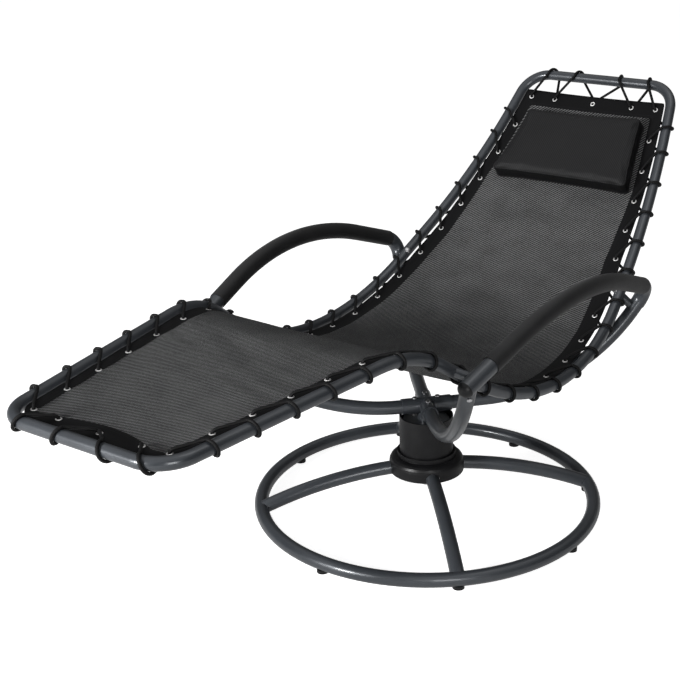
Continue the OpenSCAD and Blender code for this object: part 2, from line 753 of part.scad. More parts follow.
module cradle_rear(side) {
  line = flip_all(rear_line, side);
  a = side == right ? rear_turn : 180 - rear_turn;
  color(steel) difference() {
    union() {
      rod_run(line, [0, rear_bend_r, 0], cradle_d);
      rod(flip(rear_mount_rail, side), flip(rear_mount_tube, side), stub_d);
    }
    rod_run(stretched(line, over, over), [0, rear_bend_r, 0], cradle_d - 2 * cradle_wall);
    rod(flip(rear_top - rear_up * weld_gap, side), flip(arm_line[2], side), arm_d + 2 * weld_gap);
    rail_cutter(rear_mount_s, side);
    mount_hole(rear_mount_rail, rear_mount_tube, side, bolt_d + 2 * slip);
    translate(polar(cross_bolt_r, a, cross_z - cradle_d)) cylinder(h = 2 * cradle_d, d = cross_bolt_d + 2 * slip);
  }
}
module cradle_bolts() {
  grip = cradle_d / 2 + weld_gap;
  nut_h = 0.8 * cross_bolt_d;
  color(bright) for (side = [left, right]) translate(flip(cradle_bolt_at, side))
    aim(flip(cradle_bolt_way, side)) {
      translate([0, 0, grip]) bolt_head(cross_bolt_d, 4);
      translate([0, 0, -grip - nut_h]) cylinder(h = 2 * grip + nut_h + over, d = cross_bolt_d);
      translate([0, 0, -grip - nut_h]) cylinder(h = nut_h, d = 1.9 * cross_bolt_d, $fn = 6);
    }
}

// Arm: tube with its front spigot, its necked leg and the front mounting stub
end_disc = 3;
module arm_tube(side) {
  line = flip_all(arm_line, side);
  front = flip(front_top, side);
  f = flip(front_up, side);
  rear = flip(rear_top, side);
  w = flip(rear_up, side);
  spigot_end = arm_d / 2 + spigot_length;
  color(steel) difference() {
    union() {
      rod_run(line, arm_bends, arm_d);
      rod(front, front - f * spigot_end, spigot_d);
      rod(rear + w * over, rear - w * rear_spigot_length, rear_spigot_d);
      rod(flip(front_mount_arm, side), flip(front_mount_rail, side), stub_d);
    }
    rod_run(stretched(line, over, -end_disc), arm_bends, arm_d - 2 * arm_wall);
    rod(front, front - f * (spigot_end + over), spigot_d - 2 * spigot_wall);
    rod(rear + w * (end_disc + over), rear - w * (rear_spigot_length + over), rear_spigot_d - 2 * spigot_wall);
    rail_cutter(front_mount_s, side);
    mount_hole(front_mount_rail, front_mount_arm, side, bolt_d + 2 * slip);
    mount_hole(rear_mount_rail, rear_mount_tube, side, bolt_d + 2 * slip);
    cradle_bolt_hole(side);
  }
}
module arm_sleeve(side) {
  rear_cut = bend_cut(arm_line, arm_bends, 2) + 0.5;
  crown_to_rear = unit(arm_line[2] - arm_crown);
  line = flip_all([arm_front + unit(arm_crown - arm_front) * bare_length, arm_crown,
    arm_line[2] - crown_to_rear * rear_cut], side);
  bends = [0, arm_crown_bend_r, 0];
  color(foam) difference() {
    rod_run(line, bends, arm_d + 2 * slip + 2 * foam_t);
    rod_run(stretched(line, over, over), bends, arm_d + 2 * slip);
  }
}
plug_depth = 14;
module arm_plugs() {
  dome_r = (arm_d * arm_d / 4 + plug_dome * plug_dome) / (2 * plug_dome);
  out = unit(arm_front - arm_crown);
  color(plastic) for (side = [left, right]) translate(flip(arm_front, side)) aim(flip(out, side)) {
    translate([0, 0, -plug_depth]) cylinder(h = plug_depth + over, d = arm_d - 2 * arm_wall - 2 * slip);
    translate([0, 0, slip]) intersection() {
      cylinder(h = plug_dome, d = arm_d);
      translate([0, 0, plug_dome - dome_r]) sphere(r = dome_r);
    }
  }
}
saddle_depth = 2.5;
rail_head_h = 8;
module rail_bolt(a, b, s, side) {
  u = flip(unit(b - a), side);
  p = flip(a, side);
  difference() {
    translate(p - u * (rail_d / 2 - saddle_depth)) aim(-u) bolt_head(bolt_d, rail_head_h);
    rail_cutter(s, side);
  }
  rod(p - u * (rail_d / 2 + saddle_depth), flip(b, side) - u * over, bolt_d);
}
module rail_bolts() {
  color(bright) for (side = [left, right]) {
    rail_bolt(front_mount_rail, front_mount_arm, front_mount_s, side);
    rail_bolt(rear_mount_rail, rear_mount_tube, rear_mount_s, side);
  }
}

// Frame: side rails and the two hoops
neck_d = rail_d - 2 * rail_wall - 2 * slip;
neck_root = 2;
foot_joint = spot(foot_joint_s)[0];
head_joint = spot(head_joint_s)[0];
module side_rail(side) {
  line = flip_all(stretched([foot_joint, seat, head_joint], -weld_gap, -weld_gap), side);
  color(steel) difference() {
    tube_run(line, [0, seat_r, 0], rail_d, rail_wall);
    mount_hole(front_mount_rail, front_mount_arm, side, bolt_d + 2 * slip);
    mount_hole(rear_mount_rail, rear_mount_tube, side, bolt_d + 2 * slip);
  }
}
module hoop(half, half_bends, mount_a, mount_b) {
  n = len(half) - 1;
  line = concat(half, [for (i = [0 : n]) flip(half[n - i], left)]);
  bends = concat(half_bends, [for (i = [0 : n]) half_bends[n - i]]);
  out = unit(half[0] - half[1]);
  difference() {
    union() {
      rod_run(line, bends, rail_d);
      for (side = [left, right])
        rod(flip(half[0] - out * over, side), flip(half[0] + out * neck_length, side), neck_d);
    }
    rod_run(stretched(line, -neck_root, -neck_root), bends, rail_d - 2 * rail_wall);
    for (side = [left, right]) {
      rod(flip(half[0] - out * (neck_root + over), side), flip(half[0] + out * (neck_length + over), side),
        neck_d - 2 * rail_wall);
      mount_hole(mount_a, mount_b, side, bolt_d + 2 * slip);
    }
  }
}
module foot_hoop() {
  color(steel) hoop([foot_joint, knee, foot], [0, knee_r, corner_r], front_mount_rail, front_mount_arm);
}
module head_hoop() {
  color(steel) hoop([head_joint, back, head], [0, back_r, corner_r], rear_mount_rail, rear_mount_tube);
}

// Sling surface: distance along the side line, and a share of the half width
row_pitch = (side_length - head_row - foot_row) / (side_eyelets - 1);
cells = side_eyelets;
function row_s(i) = foot_row + i * row_pitch;
function station(k) =
  k == 0 ? foot_row - edge_margin
  : k == cells ? side_length - head_row + edge_margin
  : row_s(k - 0.5);
function edge_at(s) = let (f = rail_at(s)) f[0] - f[1] * (eyelet_inset - edge_margin);
function lift_at(s) = let (t = spot(s)[1]) unit([0, -t.z, t.y]);
function cloth(s, q) = let (e = edge_at(s)) [q * e.x, e.y, e.z] - lift_at(s) * sling_sag * (1 - q * q);
function share(s, margin) = 1 - margin / edge_at(s).x;
function cloth_frame(s, q) =
  let (a = unit(cloth(s, q + 0.01) - cloth(s, q - 0.01)), t = cloth(s + 1, q) - cloth(s - 1, q),
    along = unit(t - a * (a * t)))
  [cloth(s, q), a, along, cross(a, along)];
function columns(s) = let (q = share(s, 2 * edge_margin)) [-1, -q, -q / 3, q / 3, q, 1];
head_row_s = row_s(side_eyelets - 1);
end_shares = [-2 / 3, 0, 2 / 3];
eyelet_frames = concat(
  [for (i = [0 : side_eyelets - 1]) cloth_frame(row_s(i), -share(row_s(i), edge_margin))],
  [for (i = [0 : side_eyelets - 1]) cloth_frame(row_s(i), share(row_s(i), edge_margin))],
  [for (q = end_shares) cloth_frame(foot_row, q * share(foot_row, 2 * edge_margin))],
  [for (q = end_shares) cloth_frame(head_row_s, q * share(head_row_s, 2 * edge_margin))]
);
holes = len(eyelet_frames);
lines = 6;
grid = (cells + 1) * lines;
hole_r = eyelet_d / 2 + slip;
function lifted(f, h) = f[0] + f[3] * h;
function rim_point(f, m, h) = lifted(f, h) + (f[1] * cos(m * 60) + f[2] * sin(m * 60)) * hole_r;
sling_points = concat(
  join([for (h = [sling_t / 2, -sling_t / 2]) [for (k = [0 : cells], j = [0 : lines - 1])
    lifted(cloth_frame(station(k), columns(station(k))[j]), h)]]),
  join([for (h = [sling_t / 2, -sling_t / 2]) [for (f = eyelet_frames, m = [0 : 5]) rim_point(f, m, h)]])
);
function hole_of(k, j) =
  j == 0 ? k
  : j == lines - 2 ? cells + k
  : k == 0 ? 2 * cells + j - 1
  : k == cells - 1 ? 2 * cells + 2 + j
  : -1;
function corner(k, j, under) = under * grid + k * lines + j;
function rim(h, m, under) = 2 * grid + under * holes * 6 + h * 6 + m % 6;
function face(c, under) = under == 1 ? c : [c[2], c[1], c[0]];
function cell_faces(k, j, under) =
  let (h = hole_of(k, j), c = [corner(k + 1, j + 1, under), corner(k + 1, j, under),
    corner(k, j, under), corner(k, j + 1, under)])
  h < 0 ? [face([c[0], c[1], c[2]], under), face([c[0], c[2], c[3]], under)]
  : let (r = [for (m = [0 : 5]) rim(h, m, under)])
    [for (t = [[c[0], c[1], r[2]], [c[0], r[2], r[1]], [c[1], r[3], r[2]], [c[1], c[2], r[3]],
      [c[2], r[4], r[3]], [c[2], c[3], r[5]], [c[2], r[5], r[4]], [c[3], r[0], r[5]],
      [c[3], c[0], r[0]], [c[0], r[1], r[0]]]) face(t, under)];
function wall_faces(a, b, c, d) = [[a, b, c], [a, c, d]];
sling_faces = concat(
  join([for (under = [0, 1], k = [0 : cells - 1], j = [0 : lines - 2]) cell_faces(k, j, under)]),
  join([for (h = [0 : holes - 1], m = [0 : 5])
    wall_faces(rim(h, m + 1, 0), rim(h, m, 0), rim(h, m, 1), rim(h, m + 1, 1))]),
  join([for (k = [0 : cells - 1])
    wall_faces(corner(k + 1, 0, 0), corner(k, 0, 0), corner(k, 0, 1), corner(k + 1, 0, 1))]),
  join([for (k = [0 : cells - 1]) wall_faces(corner(k, lines - 1, 0), corner(k + 1, lines - 1, 0),
    corner(k + 1, lines - 1, 1), corner(k, lines - 1, 1))]),
  join([for (j = [0 : lines - 2])
    wall_faces(corner(0, j, 0), corner(0, j + 1, 0), corner(0, j + 1, 1), corner(0, j, 1))]),
  join([for (j = [0 : lines - 2]) wall_faces(corner(cells, j + 1, 0), corner(cells, j, 0),
    corner(cells, j, 1), corner(cells, j + 1, 1))])
);
module sling() {
  color(cloth_grey) polyhedron(sling_points, sling_faces, convexity = 10);
}
module eyelets() {
  color(bright) for (f = eyelet_frames) framed(f[1], f[2], f[3], f[0]) difference() {
    cylinder(h = eyelet_h, d = eyelet_d, center = true, $fn = 6);
    cylinder(h = eyelet_h + 2 * over, d = eyelet_hole / cos(30), center = true, $fn = 6);
  }
}

// Lacing: once up through each eyelet, round the tube, and under the sling to the next
wrap_r = (rail_d / 2 + lace_d / 2 + 0.3) / cos(27.5);
wrap_turns = [-25, 30, 85, 140, 195];
lace_reach = 9;
lace_side = 14;
function shift_of(i) = i == 0 ? corner_shift : i == side_eyelets - 1 ? -corner_shift - wrap_lead - wrap_step : 0;
function side_wrap(i) =
  let (f = eyelet_frames[side_eyelets + i], shift = shift_of(i), s = row_s(i) + shift + wrap_lead,
    c = f[0], a = f[1], t = f[2], n = f[3])
  concat(
    [c - n * lace_rise, c + n * lace_rise, c + a * lace_reach + n * (lace_rise + 1) + t * (1 + shift / 4)],
    [for (k = [0 : 4]) let (r = rail_at(s + k * wrap_step / 4), w = wrap_turns[k])
      r[0] + (r[1] * sin(w) + r[3] * cos(w)) * wrap_r],
    [c + a * lace_reach - n * (lace_rise + 1.5) + t * (lace_side + shift / 2)]
  );
first_frame = eyelet_frames[side_eyelets];
last_frame = eyelet_frames[2 * side_eyelets - 1];
side_path = concat(
  [for (d = [15, 13, 10, 8.3]) first_frame[0] - first_frame[3] * d],
  join([for (i = [0 : side_eyelets - 1]) side_wrap(i)]),
  [for (d = [8.5, 5, 1.5, -1]) last_frame[0] - last_frame[3] * (lace_rise + 4) + last_frame[1] * (d - 3)
    - last_frame[2] * (d + 3)]
);
lace_r = lace_d / 2;
function knotted(n) = concat([knot_r / 2, knot_r, knot_r], [for (i = [3 : n - 4]) lace_r],
  [knot_r, knot_r, knot_r / 2]);
module lacing_side(side) {
  path = flip_all(side_path, side);
  color(plastic) swept(path, knotted(len(path)), 5);
}

// Lacing of an end: a hitch on the bar, then eyelets and bar in turn
bar_shares = [-0.62, -0.25, 0.25, 0.62];
bar_turns = [195, 140, 85, 30, -25];
function bar_wrap(bar, out, up, x) = [for (k = [0 : 4])
  [x + (k - 2) * wrap_step / 4, bar.y, bar.z] + (out * sin(bar_turns[k]) + up * cos(bar_turns[k])) * wrap_r];
function bar_eyelet(f, way) =
  [f[0] + f[2] * way * lace_reach + f[3] * (lace_rise + 1), f[0] + f[3] * lace_rise, f[0] - f[3] * lace_rise,
    f[0] + f[2] * way * lace_reach - f[3] * (lace_rise + 1.5)];
function bar_end(bar, out, up, x, angle, more) =
  [x, bar.y, bar.z] + (out * sin(angle) + up * cos(angle)) * (wrap_r + more);
function end_path(bar, first, way, s) =
  let (up = lift_at(s), out = spot(s)[1] * way, o = unit([0, out.y, out.z]))
  concat(
    [for (k = [0 : 3]) bar_end(bar, o, up, bar.x * bar_shares[0] - wrap_step, 262 - 9 * k, 2)],
    join([for (i = [0 : 3]) concat(
      bar_wrap(bar, o, up, bar.x * bar_shares[i]),
      i < 3 ? bar_eyelet(eyelet_frames[first + i], way) : []
    )]),
    [for (k = [0 : 3]) bar_end(bar, o, up, bar.x * bar_shares[3] + wrap_step, -60 - 9 * k, 2)]
  );
foot_path = end_path(foot, 2 * side_eyelets, -1, 0);
head_path = end_path(head, 2 * side_eyelets + 3, 1, side_length);
module lacing_end(path) {
  color(plastic) swept(path, knotted(len(path)), 5);
}
echo(lace_gaps = [least_gap(side_path, lace_d, 5), least_gap(foot_path, lace_d, 5), least_gap(head_path, lace_d, 5)]);
function path_length(p) = [for (i = [1 : len(p) - 1]) norm(p[i] - p[i - 1])] * [for (i = [1 : len(p) - 1]) 1];
echo(lace_lengths = [path_length(side_path), path_length(foot_path), path_length(head_path)]);

// Pillow: underside on the sling's facets, seam around it, crowned top
function mixed(a, b, u) = a + (b - a) * u;
function cell_line(s, x) =
  let (e = columns(s) * edge_at(s).x, j = x < e[2] ? 1 : x < e[3] ? 2 : 3,
    u = (x - e[j]) / (e[j + 1] - e[j]))
  mixed(cloth(s, columns(s)[j]), cloth(s, columns(s)[j + 1]), u);
function rest_at(s, x) =
  let (k = floor((s - row_s(-0.5)) / row_pitch), a = station(k), b = station(k + 1))
  mixed(cell_line(a, x), cell_line(b, x), (s - a) / (b - a));
pillow_half = edge_at(pillow_s).x * columns(pillow_s)[3];
pillow_x0 = pillow_x - pillow_w / 2;
pillow_x1 = pillow_x + pillow_w / 2;
pillow_s0 = pillow_s - pillow_h / 2;
pillow_s1 = pillow_s + pillow_h / 2;
pillow_round = 13;
pillow_xs = [pillow_x0, pillow_x0 + pillow_round, -pillow_half - 36, -pillow_half, 0, pillow_half,
  pillow_half + 42, pillow_x1 - pillow_round, pillow_x1];
pillow_ss = [pillow_s0, pillow_s0 + pillow_round, row_s(19.5), row_s(20), row_s(20.5), row_s(21),
  pillow_s1 - pillow_round, pillow_s1];
pillow_seam = 0.25;
function edge_share(v, lo, hi) = (2 * v - lo - hi) / (hi - lo);
function pillow_height(x, s, top) =
  let (u = edge_share(x, pillow_x0, pillow_x1), v = edge_share(s, pillow_s0, pillow_s1),
    rim = max(abs(u), abs(v)) > 0.999)
  rim ? pillow_seam * pillow_t
  : top ? pillow_t * (0.84 + 0.16 * (1 - pow(u, 4)) * (1 - pow(v, 4)))
  : sling_t / 2 + weld_gap + 0.1;
function pillow_point(x, s, top) =
  let (u = edge_share(x, pillow_x0, pillow_x1), v = edge_share(s, pillow_s0, pillow_s1),
    tuck_x = abs(u) > 0.999 ? 6 * (1 - v * v) * u : 0, tuck_s = abs(v) > 0.999 ? 5 * (1 - u * u) * v : 0)
  rest_at(s - tuck_s, x - tuck_x) + lift_at(s) * pillow_height(x, s, top);
nx = len(pillow_xs);
ns = len(pillow_ss);
pillow_points = concat(
  [for (s = pillow_ss, x = pillow_xs) pillow_point(x, s, true)],
  [for (i = [1 : ns - 2], j = [1 : nx - 2]) pillow_point(pillow_xs[j], pillow_ss[i], false)]
);
function pillow_index(i, j, top) =
  top || i == 0 || j == 0 || i == ns - 1 || j == nx - 1 ? i * nx + j
  : nx * ns + (i - 1) * (nx - 2) + j - 1;
pillow_faces = [for (top = [true, false], i = [0 : ns - 2], j = [0 : nx - 2])
  let (a = pillow_index(i, j, top), b = pillow_index(i, j + 1, top), c = pillow_index(i + 1, j + 1, top),
    d = pillow_index(i + 1, j, top), across = i == 0 && j == nx - 2 || i == ns - 2 && j == 0,
    half = across ? [[b, a, d], [d, c, b]] : [[c, b, a], [d, c, a]])
  each [for (t = half) face(t, top ? 1 : 0)]];
module pillow() {
  color(cloth_grey) polyhedron(pillow_points, pillow_faces, convexity = 4);
}

base_ring();
spoke(0);  // spoke_rear_right
spoke(1);  // spoke_rear_left
spoke(2);  // spoke_front_left
spoke(3);  // spoke_front_right
floor_pads();
hub_socket();
spindle_bushes();
bearing_collar();
lower_race();
bearing_balls();
upper_race();
swivel_spindle();
spindle_nut();
rocker_yoke();
rocker_casing();
casing_screws();
rocker_pin();
pin_clips();
spring(-spring_y);  // front_spring
spring(spring_y);  // rear_spring
rocker_head();
cross_bracket();
bracket_bolts();
cradle_front(left);  // cradle_front_left
cradle_front(right);  // cradle_front_right
cradle_rear(left);  // cradle_rear_left
cradle_rear(right);  // cradle_rear_right
cradle_bolts();
arm_tube(left);  // arm_tube_left
arm_tube(right);  // arm_tube_right
arm_sleeve(left);  // arm_sleeve_left
arm_sleeve(right);  // arm_sleeve_right
arm_plugs();
rail_bolts();
side_rail(left);  // side_rail_left
side_rail(right);  // side_rail_right
foot_hoop();
head_hoop();
sling();
eyelets();
lacing_side(left);  // lacing_left
lacing_side(right);  // lacing_right
lacing_end(foot_path);  // lacing_foot
lacing_end(head_path);  // lacing_head
pillow();
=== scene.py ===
"""Looks of the rocking sun lounger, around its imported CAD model.

Shapes are worked out in the CAD's millimetres with numpy and turned to metres when a mesh is made.
"""

import json
import math

import bpy
import numpy as np
from mathutils import Matrix
from mathutils.bvhtree import BVHTree


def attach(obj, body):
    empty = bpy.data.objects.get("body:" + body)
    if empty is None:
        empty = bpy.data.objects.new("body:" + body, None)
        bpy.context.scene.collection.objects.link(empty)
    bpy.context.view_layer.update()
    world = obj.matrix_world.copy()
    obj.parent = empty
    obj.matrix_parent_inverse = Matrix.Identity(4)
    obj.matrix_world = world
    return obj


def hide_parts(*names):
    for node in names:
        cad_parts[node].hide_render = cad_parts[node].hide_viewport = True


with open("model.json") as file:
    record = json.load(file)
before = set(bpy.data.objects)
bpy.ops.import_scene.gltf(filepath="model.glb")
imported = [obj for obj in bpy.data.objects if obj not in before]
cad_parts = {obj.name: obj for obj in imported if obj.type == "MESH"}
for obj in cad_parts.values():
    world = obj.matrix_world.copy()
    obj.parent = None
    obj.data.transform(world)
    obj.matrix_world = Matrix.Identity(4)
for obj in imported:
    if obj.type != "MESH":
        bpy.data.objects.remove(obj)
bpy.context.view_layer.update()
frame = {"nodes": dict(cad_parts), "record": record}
MM = 0.001

# Frame, sling and lacing sizes, as in the CAD source
SIDE_CORNERS = np.array(
    [[195, -933.5, 565], [275, -343.5, 591], [362, 132.5, 264], [253, 741, 645], [206, 933.5, 873]], float
)
SIDE_BENDS = [0, 280, 560, 1500, 0]
RAIL_R = 12.7
EYELET_INSET = 38
EDGE_MARGIN = 13
SLING_SAG = 6
SIDE_EYELETS = 23
FOOT_ROW = 45
HEAD_ROW = 66

TINY = 1e-9  # keeps a division away from zero


# ---------------------------------------------------------------- vectors and routes
def unit(v):
    """Vectors scaled to length one."""
    return v / np.linalg.norm(v, axis=-1, keepdims=True)


def col(x):
    """A list of numbers as a column, to scale rows of points."""
    return np.asarray(x, float)[..., None]


def filleted(corners, radii, step=1.0):
    """Points along straight lines whose corners are rounded with the given radii, about step apart."""
    parts = [corners[:1]]
    for corner, before, after, radius in zip(corners[1:-1], corners[:-2], corners[2:], radii[1:-1]):
        u, v = unit(corner - before), unit(after - corner)
        angle = math.acos(float(np.clip(u @ v, -1, 1)))
        inwards = unit(v - u * (u @ v))
        start = corner - u * radius * math.tan(angle / 2)
        t = col(np.linspace(0, angle, max(3, int(radius * angle / step))))
        parts.append(start + u * radius * np.sin(t) + inwards * radius * (1 - np.cos(t)))
    parts.append(corners[-1:])
    points = [parts[0]]
    for part in parts[1:]:
        a, b = points[-1][-1], part[0]
        n = max(2, int(np.linalg.norm(b - a) / step))
        points.append(a + (b - a) * col(np.linspace(0, 1, n)[1:]))
        points.append(part[1:])
    return np.concatenate(points)


side_points = filleted(SIDE_CORNERS, SIDE_BENDS)
side_steps = np.linalg.norm(np.diff(side_points, axis=0), axis=1)
side_s = np.concatenate([[0], np.cumsum(side_steps)])
SIDE_LENGTH = side_s[-1]
side_tangents = unit(np.gradient(side_points, side_s, axis=0))


def along_side(table, s):
    """Values of a table over the side line's length, read between its points."""
    return np.stack([np.interp(s, side_s, table[:, k]) for k in range(3)], axis=-1)


def rail_at(s):
    """Point, outward, along and up directions of the right rail at distances s."""
    t = unit(along_side(side_tangents, s))
    a = unit(np.array([1.0, 0, 0]) - t * t[..., :1])
    return along_side(side_points, s), a, t, np.cross(a, t)


def lift_at(s):
    """Direction square to the sling at the middle plane."""
    t = along_side(side_tangents, s)
    return unit(np.stack([0 * t[..., 0], -t[..., 2], t[..., 1]], axis=-1))


ROW_PITCH = (SIDE_LENGTH - HEAD_ROW - FOOT_ROW) / (SIDE_EYELETS - 1)
FOOT_EDGE, HEAD_EDGE = FOOT_ROW - EDGE_MARGIN, SIDE_LENGTH - HEAD_ROW + EDGE_MARGIN


def row_s(i):
    """Distance of the i-th eyelet of a side along the side line."""
    return FOOT_ROW + np.asarray(i, float) * ROW_PITCH


def edge_at(s):
    """The sling's right edge at distances s."""
    p, a, _, _ = rail_at(s)
    return p - a * (EYELET_INSET - EDGE_MARGIN)


def cloth(s, x):
    """The sling's middle surface: level across, sagging by a parabola between its two edges."""
    e = edge_at(s)
    q = x / e[..., 0]
    flat = np.stack([x + 0 * q, e[..., 1] + 0 * q, e[..., 2] + 0 * q], axis=-1)
    return flat - lift_at(s) * col(SLING_SAG * (1 - q * q))


def cloth_frame(s, x):
    """Point, across, along and up directions of the sling."""
    a = unit(cloth(s, x + 1) - cloth(s, x - 1))
    t = cloth(s + 1, x) - cloth(s - 1, x)
    t = unit(t - a * (a * t).sum(-1, keepdims=True))
    return cloth(s, x), a, t, np.cross(a, t)


# ---------------------------------------------------------------- meshes
def piece(name, points, faces, material, uv=None, smooth=True):
    """A mesh object from points in millimetres; uv gives two numbers for each point."""
    mesh = bpy.data.meshes.new(name)
    faces = faces.tolist() if isinstance(faces, np.ndarray) else faces
    mesh.from_pydata((np.asarray(points, float).reshape(-1, 3) * MM).tolist(), [], faces)
    mesh.materials.append(material)
    if uv is not None:
        corners = np.empty(len(mesh.loops), np.int32)
        mesh.loops.foreach_get("vertex_index", corners)
        layer = mesh.uv_layers.new(name="lay")
        layer.data.foreach_set("uv", np.asarray(uv, np.float32).reshape(-1, 2)[corners].ravel())
    mesh.polygons.foreach_set("use_smooth", np.full(len(mesh.polygons), smooth))
    mesh.update()
    made = bpy.data.objects.new(name, mesh)
    bpy.context.scene.collection.objects.link(made)
    return made


def grid_faces(rows, cols, wrap_rows=False, wrap_cols=False):
    """Quads between neighbouring points of a grid, closed round where asked."""
    i = np.arange(rows if wrap_rows else rows - 1)[:, None]
    j = np.arange(cols if wrap_cols else cols - 1)[None, :]
    a, b = i * cols + j, i * cols + (j + 1) % cols
    c, d = (i + 1) % rows * cols + (j + 1) % cols, (i + 1) % rows * cols + j
    return np.stack([a, b, c, d], axis=-1).reshape(-1, 4)


def smooth_line(points, per_span):
    """A Catmull-Rom curve through points, with per_span points from each to the next."""
    p = np.concatenate([2 * points[:1] - points[1:2], points, 2 * points[-1:] - points[-2:-1]])
    t = np.linspace(0, 1, per_span, endpoint=False)[:, None, None]
    a, b, c, d = p[:-3], p[1:-2], p[2:-1], p[3:]
    curve = 0.5 * (2 * b + (c - a) * t + (2 * a - 5 * b + 4 * c - d) * t**2 + (3 * b - a - 3 * c + d) * t**3)
    return np.concatenate([curve.transpose(1, 0, 2).reshape(-1, 3), points[-1:]])


def even_line(points, step):
    """The same line with its points evenly spaced, about step apart."""
    s = np.concatenate([[0], np.cumsum(np.linalg.norm(np.diff(points, axis=0), axis=1))])
    t = np.linspace(0, s[-1], max(4, int(s[-1] / step)))
    return np.stack([np.interp(t, s, points[:, k]) for k in range(3)], axis=-1)


def carried_sides(points):
    """Tangents of a line and one side direction carried along it without twist."""
    t = unit(np.gradient(points, axis=0))
    side = unit(np.cross([0.0, 0, 1] if abs(t[0, 2]) < 0.9 else [0.0, 1, 0], t[0]))
    sides = []
    for way in t:
        side = unit(side - way * (side @ way))
        sides.append(side)
    return t, np.array(sides)


def tube(points, radii, around):
    """A round tube carried along a line: its points, faces and a map of length and turn in millimetres."""
    t, x = carried_sides(points)
    y = np.cross(t, x)
    angle = np.linspace(0, 2 * np.pi, around, endpoint=False)
    ring = x[:, None] * np.cos(angle)[None, :, None] + y[:, None] * np.sin(angle)[None, :, None]
    skin = points[:, None] + ring * np.asarray(radii, float)[:, None, None]
    length = np.concatenate([[0], np.cumsum(np.linalg.norm(np.diff(points, axis=0), axis=1))])
    uv = np.stack(np.broadcast_arrays(angle[None] / (2 * np.pi), length[:, None] * MM), axis=-1)
    faces = grid_faces(len(points), around, wrap_cols=True)
    return skin.reshape(-1, 3), faces, uv.reshape(-1, 2)


def capped(points, faces, around, centres):
    """Adds a middle point to each end of a tube and closes the ends with triangles."""
    n = len(points)
    k = np.arange(around)
    low = np.stack([np.full(around, n), (k + 1) % around, k], axis=-1)
    high = np.stack([np.full(around, n + 1), n - around + k, n - around + (k + 1) % around], axis=-1)
    return np.concatenate([points, centres]), faces.tolist() + low.tolist() + high.tolist()


# ---------------------------------------------------------------- materials
class Nodes:
    """Short calls that add nodes to a material or a node group."""

    def __init__(self, tree):
        self.tree = tree

    def add(self, kind, *sources, **settings):
        made = self.tree.nodes.new("ShaderNode" + kind)
        for name, value in settings.items():
            setattr(made, name, value)
        for slot, source in enumerate(sources):
            self.put(made.inputs[slot], source)
        return made

    def put(self, socket, source):
        if isinstance(source, bpy.types.NodeSocket):
            self.tree.links.new(source, socket)
        elif source is not None:
            socket.default_value = source

    def math(self, operation, *sources, clamp=False):
        return self.add("Math", *sources, operation=operation, use_clamp=clamp).outputs[0]

    def noise(self, vector, scale, detail=2.0, rough=0.5):
        made = self.add("TexNoise")
        self.put(made.inputs["Vector"], vector)
        self.put(made.inputs["Scale"], scale)
        made.inputs["Detail"].default_value = detail
        made.inputs["Roughness"].default_value = rough
        return made.outputs[0]

    def band(self, value, low, high):
        """0 below low, 1 above high, a smooth step between."""
        made = self.add("MapRange", value, low, high, 0.0, 1.0, interpolation_type="SMOOTHSTEP")
        return made.outputs[0]

    def attribute(self, name):
        """A value stored at the mesh's points."""
        made = self.tree.nodes.new("ShaderNodeAttribute")
        made.attribute_name = name
        return made.outputs["Fac"]

    def blend(self, share, a, b):
        """Colours a and b mixed by share, through the Mix node's colour sockets."""
        made = self.tree.nodes.new("ShaderNodeMix")
        made.data_type = "RGBA"
        self.put(made.inputs[0], share)
        self.put(made.inputs[6], a)
        self.put(made.inputs[7], b)
        return made.outputs[2]


def group(name, inputs, outputs):
    """A new node group with float or vector sockets; gives its node calls and its own two ends' sockets."""
    tree = bpy.data.node_groups.new(name, "ShaderNodeTree")
    for label, kind, default in inputs:
        socket = tree.interface.new_socket(label, in_out="INPUT", socket_type="NodeSocket" + kind)
        if default is not None:
            socket.default_value = default
    for label in outputs:
        tree.interface.new_socket(label, in_out="OUTPUT", socket_type="NodeSocketFloat")
    nodes = Nodes(tree)
    return nodes, tree.nodes.new("NodeGroupInput").outputs, tree.nodes.new("NodeGroupOutput").inputs


def grain_group():
    """Two sizes of noise over a surface: a broad tone, and a fine speckle that is also a height."""
    n, given, out = group(
        "surface_grain", [("Vector", "Vector", None), ("Fine", "Float", 500.0), ("Broad", "Float", 9.0)],
        ["Tone", "Speckle"],
    )
    n.put(out["Tone"], n.noise(given["Vector"], given["Broad"], 3.0))
    n.put(out["Speckle"], n.noise(given["Vector"], given["Fine"], 2.0, 0.6))
    return n.tree


TWILL_REPEAT = 4.0  # yarns until the twill repeats
GAP_BELOW = 0.32  # the weave is open where both yarns are lower than this


